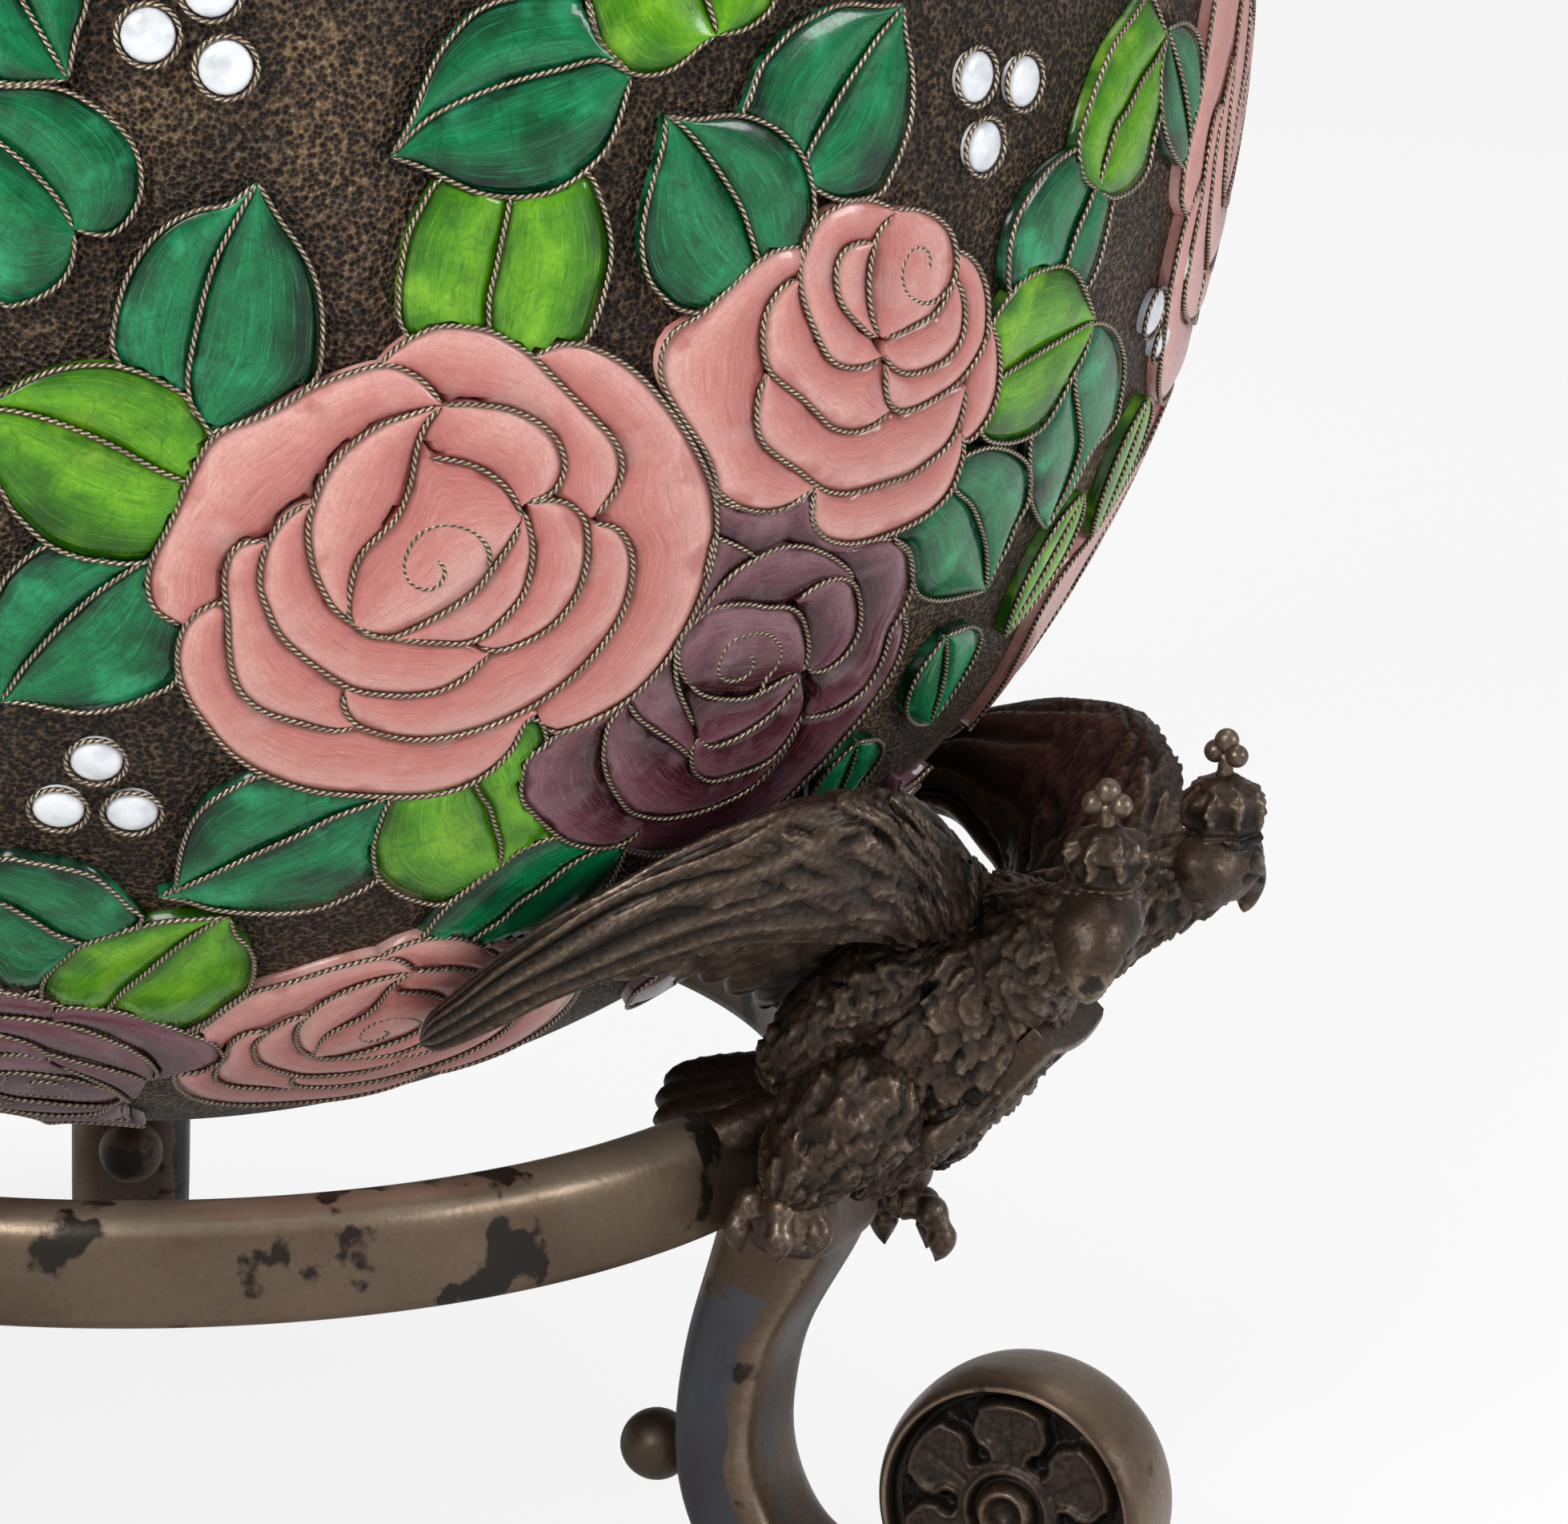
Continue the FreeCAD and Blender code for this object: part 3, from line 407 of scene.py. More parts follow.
def enamel(name, look):
    # Fired glass enamel: glossy, cloudy in depth, with fine brush streaks and hair cracks, and
    # darker where the cell is deep beside its inner wire.
    material, shader = finish(name)
    uv, place = flowIn(material), placeIn(material)
    across = node(material, "ShaderNodeSeparateXYZ", {"Vector": uv}).outputs["Y"]
    # clouds about 3 mm across, streaks about 0.15 mm wide and 3 mm long
    clouds, grain = noise(material, place, 330.0, 3.0), noise(material, place, 5200.0, 2.0)
    stretched = node(material, "ShaderNodeMapping", {"Vector": uv, "Scale": (2.2, 22.0, 1.0)}).outputs["Vector"]
    streaks = node(material, "ShaderNodeTexNoise", {"Vector": stretched, "Scale": 1.6, "Detail": 4.0,
                                                   "Roughness": 0.65}).outputs["Fac"]
    shifted = reckoned(material, "ADD", across, sized(material, clouds, 0.3, 0.7, -0.22, 0.22))
    colour = shades(material, shifted, look["across"])
    for value, low, high, share, tone in ((streaks, 0.52, 0.75, 0.40, "streak"), (streaks, 0.46, 0.30, 0.55, "deep"),
                                          (clouds, 0.55, 0.72, 0.50, "deep"), (clouds, 0.45, 0.30, 0.40, "streak"),
                                          (grain, 0.35, 0.75, 0.30, "deep")):
        colour = tinted(material, colour, value, low, high, share, look[tone])
    bent = blend(material, 0.0035, place, noise(material, place, 420.0, 2.0, "Color"), "ADD")
    cracks = node(material, "ShaderNodeTexVoronoi", {"Vector": bent, "Scale": 300.0, "Randomness": 1.0},
                  feature="DISTANCE_TO_EDGE").outputs["Distance"]
    colour = blend(material, sized(material, cracks, 0.0, 0.03, look["crack"], 0.0), colour, linear(look["deep"]))
    fill(material, shader, {"Base Color": colour, "Roughness": sized(material, grain, 0.3, 0.7, 0.16, 0.30),
                            "IOR": 1.52, "Specular IOR Level": 0.22, "Coat Weight": 0.22, "Coat Roughness": 0.06})
    bumped(material, shader, (clouds, 0.25, 0.0002), (grain, 0.12, 0.00004))
    return material


def whiteDot():
    # Opaque white enamel: a smooth glassy dome, faintly mottled in cool tones.
    material, shader = finish("opaqueWhiteEnamel")
    mottle = noise(material, placeIn(material), 900.0, 3.0)
    colour = shades(material, mottle, [(0.3, "#c6cbd2"), (0.55, "#e2e6eb"), (0.8, "#eceef1")])
    fill(material, shader, {"Base Color": colour, "Roughness": 0.14, "Coat Weight": 0.4})
    return material


def pittedGround():
    # Copper ground left bare between the cells: oxidised nearly black, punched with fine pits 0.25 mm
    # apart, and rubbed golden brown on the high grains.
    material, shader = finish("oxidisedPittedCopper")
    place = placeIn(material)
    pits = node(material, "ShaderNodeTexVoronoi", {"Vector": place, "Scale": 4300.0}, feature="F1")
    lumps, patches = noise(material, place, 3200.0, 3.0), noise(material, place, 160.0, 4.0)
    height = reckoned(material, "ADD", pits.outputs["Distance"], lumps)
    level = sized(material, height, 0.4, 1.5, 0.0, 1.0)
    dark = shades(material, level, [(0.15, "#060403"), (0.45, "#1e1713"), (0.62, "#33281f"), (0.85, "#5c4938")])
    rubbed = shades(material, level, [(0.15, "#0e0a08"), (0.42, "#362b22"), (0.6, "#5f4c3a"), (0.85, "#907755")])
    colour = blend(material, sized(material, patches, 0.48, 0.70, 0.0, 0.75), dark, rubbed)
    fill(material, shader, {"Base Color": colour, "Metallic": 0.35, "Specular IOR Level": 0.3,
                            "Roughness": sized(material, height, 0.5, 1.3, 0.66, 0.42)})
    bumped(material, shader, (height, 0.9, 0.00022))
    return material


def twistedWire():
    # Twisted pair of fine brass wires laid on edge round each cell, a turn every 0.36 mm, on a smooth round
    # wire: each turn gets a painted highlight on its top and painted shade in the gap before the next.
    material, shader = finish("twistedBrassWire")
    split = node(material, "ShaderNodeSeparateXYZ", {"Vector": flowIn(material)})
    phase = reckoned(material, "ADD", split.outputs["X"], split.outputs["Y"])
    wave = reckoned(material, "SINE", reckoned(material, "MULTIPLY", phase, 2 * math.pi), 0.0)
    turns = sized(material, wave, -1.0, 1.0, 0.0, 1.0)
    tarnish = noise(material, placeIn(material), 700.0, 3.0)
    # Painted light: dark in the gaps between turns for their shade, bright on the tops for their highlights.
    colour = shades(material, turns, [(0.05, "#3a2e26"), (0.4, "#7e6e5d"), (0.75, "#aa9a84"), (1.0, "#cfc2ab")])
    colour = tinted(material, colour, tarnish, 0.42, 0.7, 0.6, "#6a5a4c")
    fill(material, shader, {"Base Color": colour, "Metallic": 0.75, "Roughness": 0.34})
    bumped(material, shader, (turns, 0.8, 0.00006))
    return material


def slatePatch(material, place, broad, colour):
    # A patch of slate-blue tarnish with a crisp ragged border, placed by the bar's own map.
    split = node(material, "ShaderNodeSeparateXYZ", {"Vector": flowIn(material)})
    ragged = sized(material, noise(material, place, 420.0, 5.0), 0.3, 0.7, -0.16, 0.16)
    reach = []
    for axis, middle, half in (("X", 10.38, 0.27), ("Y", 0.685, 0.095)):
        away = reckoned(material, "ABSOLUTE", reckoned(material, "SUBTRACT", split.outputs[axis], middle), 0.0)
        reach.append(reckoned(material, "DIVIDE", away, half))
    border = reckoned(material, "ADD", reckoned(material, "MAXIMUM", *reach), ragged)
    slate = shades(material, broad, [(0.35, "#2c2f36"), (0.6, "#42464f")])
    return blend(material, sized(material, border, 1.0, 0.97, 0.0, 0.85), colour, slate)


def patinatedBronze(name, tone, wear, fleck, coarse=1.0, spots=0.66, tarnished=False):
    # Sand-cast bronze with a dark brown patina: near black in the hollows, partly patina and partly painted
    # shade, paler on rubbed ridges and where highlights are painted, rusty and black blotches and fine casting grain.
    material, shader = finish(name)
    place = placeIn(material)
    wearAndShading = node(material, "ShaderNodeAttribute", attribute_name="wearAndShading").outputs["Fac"]
    broad, grain = noise(material, place, 120.0, 5.0), noise(material, place, 3000.0, 3.0)
    blots = noise(material, place, 260.0, 4.0)
    # The wear-and-shading value sets the tone: low gives the hollows their patina and painted shade, high gives
    # rubbed ridges and painted highlights.
    height = reckoned(material, "ADD", wearAndShading, sized(material, grain, 0.3, 0.7, -0.10 * coarse, 0.10 * coarse))
    colour = shades(material, height, [(0.05, "#060504"), (0.32, tone[0]), (0.62, tone[1]), (0.95, tone[2])])
    colour = tinted(material, colour, broad, 0.5, 0.75, 0.6, fleck)
    colour = tinted(material, colour, blots, spots, spots + 0.035, 0.92, "#120e0b")
    if tarnished:
        colour = slatePatch(material, place, broad, colour)
    dull = reckoned(material, "ADD", height, sized(material, blots, 0.3, 0.7, 0.2, -0.2))
    fill(material, shader, {"Base Color": colour, "Metallic": 0.6,
                            "Roughness": sized(material, dull, 0.2, 1.0, 0.52, wear)})
    bumped(material, shader, (grain, 0.5 * coarse, 0.00008), (blots, 0.35 * coarse, 0.0004))
    return material


def giltBrass():
    # Gilt brass: soft warm shine with fine turning lines.
    material, shader = finish("giltBrass")
    stretched = node(material, "ShaderNodeMapping", {"Vector": placeIn(material), "Scale": (60.0, 60.0, 5000.0)})
    lines = noise(material, stretched.outputs["Vector"], 1.0, 2.0)
    colour = shades(material, lines, [(0.3, "#a8812f"), (0.6, "#d2a950"), (0.9, "#e8c777")])
    fill(material, shader, {"Base Color": colour, "Metallic": 1.0,
                            "Roughness": sized(material, lines, 0.3, 0.7, 0.2, 0.34)})
    return material


enamels = {kind: enamel(kind + "GlassEnamel", look) for kind, look in enamelLook.items()}
white, ground, wireFinish, gilt = whiteDot(), pittedGround(), twistedWire(), giltBrass()
bronze = patinatedBronze("patinatedCastBronze", ("#1e160f", "#4b3c30", "#8d7c6b"), 0.28, "#3a2a1d")
turnedBronze = patinatedBronze("patinatedTurnedBronze", ("#281f18", "#665645", "#9d8d7b"), 0.26, "#4a3524", 0.3,
                               0.575)
legBronze = patinatedBronze("patinatedLegBronze", ("#221a14", "#5f4e3f", "#95836f"), 0.20, "#443322", 0.4,
                            tarnished=True)
print("finishes made")

# Flowers and leaves of the enamel, as lines of the photograph's pixels. Every petal or leaf half is a
# field between an inner line and an outer line, and its border wire follows the outer one. Outermost
# petals come first, and each later one lies over those before it. Four lines serve both as the inner line
# of a petal and as a wire.
bigFold = [(553, 508), (535, 528), (522, 560), (515, 600), (506, 628), (495, 650), (475, 670), (455, 690),
           (443, 715), (437, 745), (436, 770), (445, 785)]
sideFold = [(1118, 268), (1100, 290), (1093, 315), (1088, 345), (1088, 375), (1092, 400), (1100, 420)]
purpleSeam = [(850, 780), (845, 830), (850, 865), (868, 908)]
purpleFold = [(862, 857), (880, 870), (905, 875), (935, 874), (960, 863), (985, 848), (1000, 842)]
bigRose = {"kind": "pink", "fields": [
    ([(668, 447), (700, 480), (750, 530), (778, 585), (745, 645), (785, 678), (791, 705), (775, 775), (725, 843),
     (695, 865), (670, 890)], [(668, 447), (690, 435), (720, 430), (760, 443), (800, 470), (840, 515), (872, 565),
     (893, 615), (897, 665), (888, 715), (868, 770), (838, 822), (800, 865), (765, 890), (730, 908), (700, 917),
     (683, 912)]),
    ([(475, 457), (510, 465), (535, 482), (555, 505), (610, 508), (645, 515), (675, 528), (697, 548), (707, 575),
     (703, 600), (695, 620), (735, 648)], [(475, 457), (500, 432), (540, 411), (575, 408), (615, 415), (650, 434),
     (668, 447), (690, 470), (720, 500), (750, 530), (772, 557), (779, 585), (772, 612), (757, 632), (745, 645)]),
    ([(553, 507), (500, 525), (450, 548), (410, 590), (392, 628), (370, 640), (345, 662), (320, 677), (293, 688),
     (281, 715), (282, 750), (262, 758), (240, 772)], [(553, 505), (530, 478), (500, 460), (475, 457), (440, 466),
     (390, 485), (330, 517), (270, 545), (240, 590), (215, 650), (190, 700), (184, 735), (195, 765), (225, 783)]),
    ([(283, 755), (285, 810), (295, 855), (325, 888), (375, 906), (425, 915), (445, 907), (480, 920), (540, 926),
     (600, 914), (650, 893), (668, 888)], [(283, 752), (265, 757), (245, 768), (230, 785), (222, 810), (222, 840),
     (232, 870), (255, 905), (285, 940), (320, 965), (360, 982), (400, 992), (450, 996), (500, 998), (545, 995),
     (585, 983), (615, 965), (640, 940), (652, 915), (660, 900), (672, 893)]),
    ([(740, 655), (735, 680), (733, 710), (725, 740), (705, 770), (680, 793), (650, 808), (612, 818), (595, 838),
     (570, 855), (540, 867), (505, 872), (470, 868), (437, 862)], [(740, 655), (770, 660), (787, 682), (792, 710),
     (786, 748), (770, 785), (742, 822), (708, 855), (665, 885), (615, 908), (565, 922), (520, 926), (480, 920),
     (445, 907), (430, 885), (432, 866)]),
    ([(335, 678), (326, 710), (327, 745), (345, 785), (375, 820), (410, 845), (432, 860), (430, 885), (442, 905)],
     [(335, 678), (310, 678), (292, 688), (282, 710), (280, 735), (284, 770), (286, 810), (290, 840), (300, 865),
     (320, 885), (345, 897), (375, 905), (400, 912), (425, 915), (445, 908)]),
    ([(392, 630), (385, 660), (390, 705), (405, 742), (430, 772), (465, 795), (520, 803), (580, 808), (608, 816)],
     [(388, 630), (370, 638), (350, 655), (335, 680), (327, 705), (325, 735), (335, 765), (350, 795), (375, 820),
     (405, 842), (430, 858), (450, 866), (480, 870), (515, 871), (550, 865), (580, 850), (600, 832), (612, 818)]),
    ([(660, 632), (665, 665), (665, 700), (657, 740), (640, 765), (618, 787), (601, 800)], [(660, 630), (685, 626),
     (705, 628), (722, 638), (733, 655), (736, 685), (732, 715), (722, 745), (705, 770), (680, 792), (650, 807),
     (620, 815), (600, 810)]),
    ([(652, 655), (640, 680), (625, 703), (605, 730), (575, 755), (545, 773), (510, 790), (490, 798)], [(655, 640),
     (663, 662), (667, 690), (663, 720), (655, 745), (640, 765), (620, 785), (603, 798), (580, 806), (550, 805),
     (520, 803), (490, 800)]),
    (bigFold, [(553, 508), (535, 512), (510, 520), (480, 530), (450, 548), (425, 570), (405, 597), (392, 630),
     (385, 660), (387, 690), (393, 715), (405, 742), (420, 765), (440, 780), (465, 795), (490, 800)]),
    ([(553, 510), (535, 535), (530, 555), (540, 572), (565, 576), (590, 582), (615, 595), (635, 612), (650, 635)],
     [(553, 508), (575, 506), (600, 507), (640, 513), (675, 530), (698, 553), (707, 580), (702, 602), (690, 618),
     (670, 625), (655, 630)]),
    ([(445, 785), (437, 765), (440, 725), (455, 690), (480, 665), (503, 635), (514, 605), (518, 580), (527, 553),
     (545, 572), (590, 582), (625, 603), (650, 640)], [(445, 785), (465, 796), (490, 798), (520, 786), (545, 773),
     (575, 755), (600, 735), (620, 708), (640, 680), (652, 655)]),
], "wires": [
    [(537, 572), (560, 575), (590, 582), (615, 595), (635, 612), (648, 632), (652, 650)],
    bigFold,
    [(612, 712), (612, 690), (600, 672), (585, 662), (565, 657), (545, 658), (525, 668), (512, 685), (505, 705),
     (508, 722), (518, 733), (535, 738), (548, 733), (556, 720), (555, 710), (548, 702), (540, 697)],
]}
sideRose = {"kind": "pink", "fields": [
    ([(1001, 345), (985, 353), (968, 372), (957, 395), (953, 420), (956, 450), (958, 468), (949, 495), (947, 530),
     (955, 555), (975, 573), (1000, 590), (1018, 605)], [(1003, 308), (975, 312), (945, 330), (910, 363), (875, 395),
     (845, 413), (830, 435), (826, 465), (835, 493), (860, 533), (882, 565), (895, 598), (900, 625), (930, 637),
     (960, 641), (990, 633), (1018, 612)]),
    ([(1022, 608), (1050, 617), (1080, 614), (1110, 605), (1145, 592), (1180, 565), (1200, 540)], [(1018, 610),
     (1015, 640), (1018, 660), (1035, 675), (1060, 681), (1085, 678), (1110, 670), (1140, 657), (1170, 638),
     (1190, 615), (1200, 590), (1206, 565), (1203, 545)]),
    ([(1238, 405), (1230, 435), (1215, 465), (1209, 490), (1207, 515), (1203, 538)], [(1238, 400), (1248, 425),
     (1252, 458), (1249, 492), (1240, 518), (1226, 540), (1210, 553), (1203, 545)]),
    ([(962, 470), (985, 485), (1005, 500), (1030, 528), (1055, 540), (1085, 538), (1112, 517), (1145, 513),
     (1175, 498), (1205, 480)], [(960, 470), (949, 495), (947, 530), (955, 555), (975, 573), (1000, 590), (1018, 605),
     (1035, 615), (1060, 618), (1085, 613), (1110, 605), (1140, 595), (1165, 577), (1185, 560), (1197, 540),
     (1205, 515), (1209, 485)]),
    ([(1197, 345), (1207, 375), (1208, 400), (1200, 430), (1178, 455), (1150, 467), (1125, 466), (1110, 457)],
     [(1198, 313), (1215, 322), (1228, 340), (1236, 368), (1237, 400), (1234, 425), (1223, 448), (1208, 470),
     (1190, 487), (1168, 501), (1145, 512), (1125, 515), (1113, 505), (1108, 485), (1109, 460)]),
    ([(1000, 355), (1005, 380), (1015, 405), (1025, 425), (1035, 445), (1050, 458), (1070, 462), (1090, 458),
     (1105, 452), (1108, 490), (1112, 510)], [(997, 350), (980, 358), (967, 375), (957, 398), (954, 425), (957, 450),
     (965, 468), (985, 485), (1005, 500), (1025, 520), (1040, 535), (1060, 541), (1080, 539), (1100, 528),
     (1112, 515)]),
    ([(1192, 358), (1180, 380), (1158, 402), (1130, 416), (1106, 428)], [(1197, 350), (1205, 370), (1208, 392),
     (1205, 420), (1195, 440), (1175, 457), (1150, 467), (1130, 467), (1115, 458), (1107, 445)]),
    ([(1118, 268), (1105, 285), (1093, 302), (1070, 305), (1053, 318), (1046, 345), (1052, 378), (1070, 402),
     (1088, 418), (1100, 440)], [(1120, 263), (1100, 253), (1080, 250), (1055, 255), (1030, 270), (1015, 290),
     (1005, 310), (1001, 340), (1003, 365), (1010, 390), (1020, 415), (1032, 440), (1045, 455), (1065, 461),
     (1085, 458), (1103, 448)]),
    ([(1094, 305), (1088, 335), (1087, 370), (1092, 400), (1098, 420)], [(1092, 303), (1070, 305), (1053, 318),
     (1046, 345), (1052, 378), (1070, 402), (1090, 420), (1098, 422)]),
    (sideFold, [(1120, 263), (1145, 262), (1170, 270), (1190, 290), (1197, 315), (1197, 340), (1190, 360),
     (1180, 380), (1165, 397), (1145, 408), (1125, 418), (1105, 423)]),
], "wires": [
    sideFold,
    [(1158, 343), (1163, 330), (1160, 315), (1150, 309), (1138, 314), (1130, 330), (1128, 350), (1135, 368),
     (1150, 378), (1165, 379), (1178, 372), (1190, 357)],
]}
purpleRose = {"kind": "purple", "fields": [
    ([(893, 672), (920, 682), (945, 698), (980, 686), (1010, 684), (1040, 695), (1075, 720)], [(893, 612), (930, 637),
     (960, 641), (990, 633), (1018, 612), (1016, 645), (1030, 672), (1060, 681), (1100, 675), (1118, 675)]),
    ([(1110, 800), (1090, 850), (1060, 880), (1010, 898), (1000, 915), (975, 950), (935, 990), (890, 1012),
     (840, 1024), (805, 1024)], [(1128, 765), (1134, 790), (1122, 830), (1105, 860), (1085, 890), (1060, 920),
     (1035, 950), (1010, 975), (985, 1000), (960, 1020), (930, 1035), (890, 1050), (855, 1065), (820, 1072),
     (790, 1067), (775, 1060)]),
    ([(1040, 695), (1062, 715), (1076, 740), (1078, 770), (1070, 800), (1055, 825), (1035, 840), (1020, 850),
     (1020, 870), (1008, 892)], [(1118, 675), (1135, 685), (1141, 705), (1141, 735), (1130, 765), (1115, 790),
     (1108, 815), (1100, 835), (1085, 860), (1070, 875), (1050, 888), (1030, 895), (1008, 898)]),
    ([(945, 699), (915, 718), (890, 748), (870, 776)], [(893, 672), (885, 710), (872, 745), (858, 778)]),
    ([(775, 890), (760, 915), (755, 950), (762, 980), (782, 1012), (805, 1024)], [(755, 893), (735, 905), (700, 918),
     (680, 935), (660, 950), (653, 975), (653, 1000), (667, 1018), (690, 1040), (712, 1055), (742, 1062), (770, 1060),
     (790, 1050), (805, 1035)]),
    ([(785, 882), (800, 902), (830, 920), (860, 945), (868, 965), (888, 978), (920, 972), (955, 958), (985, 930)],
     [(783, 882), (765, 900), (758, 920), (755, 950), (762, 978), (775, 1000), (787, 1015), (805, 1022), (830, 1025),
     (865, 1020), (900, 1008), (935, 990), (958, 970), (975, 950), (990, 925), (1000, 905)]),
    (purpleSeam, [(785, 880), (800, 900), (825, 918), (850, 935), (864, 948)]),
    ([(1003, 850), (975, 885), (940, 912), (905, 930), (885, 932)], [(1003, 895), (985, 930), (960, 955), (925, 970),
     (890, 978), (870, 968), (865, 950), (868, 930), (878, 923)]),
    ([(1000, 843), (985, 848), (960, 863), (935, 874), (905, 875), (880, 870), (864, 880), (872, 915)], [(1002, 845),
     (990, 868), (970, 890), (945, 910), (920, 925), (890, 935), (876, 927)]),
    ([(872, 777), (890, 764), (910, 757), (935, 756), (960, 760), (980, 758), (1000, 748), (1025, 733), (1050, 725),
     (1066, 727)], [(870, 776), (890, 748), (915, 720), (945, 700), (975, 686), (1005, 684), (1035, 694), (1060, 712),
     (1068, 725)]),
    ([(998, 755), (1008, 775), (1012, 800), (1010, 825), (1004, 840)], [(998, 752), (1015, 738), (1035, 727),
     (1055, 724), (1070, 733), (1077, 760), (1075, 790), (1062, 815), (1045, 832), (1028, 840), (1014, 840),
     (1010, 830)]),
    (purpleFold, [(862, 857), (850, 835), (850, 805), (862, 785), (885, 765), (905, 758), (935, 756), (960, 760),
     (985, 760), (1000, 768), (1008, 785), (1012, 810), (1008, 832), (1000, 842)]),
], "wires": [
    [(893, 672), (915, 680), (935, 690), (947, 698)],
    purpleSeam,
    purpleFold,
    [(950, 872), (958, 850), (970, 835), (977, 815), (970, 800), (955, 792), (935, 795), (915, 802), (903, 818),
     (898, 838), (905, 850), (920, 852), (935, 845), (942, 832), (938, 818), (930, 820)],
]}
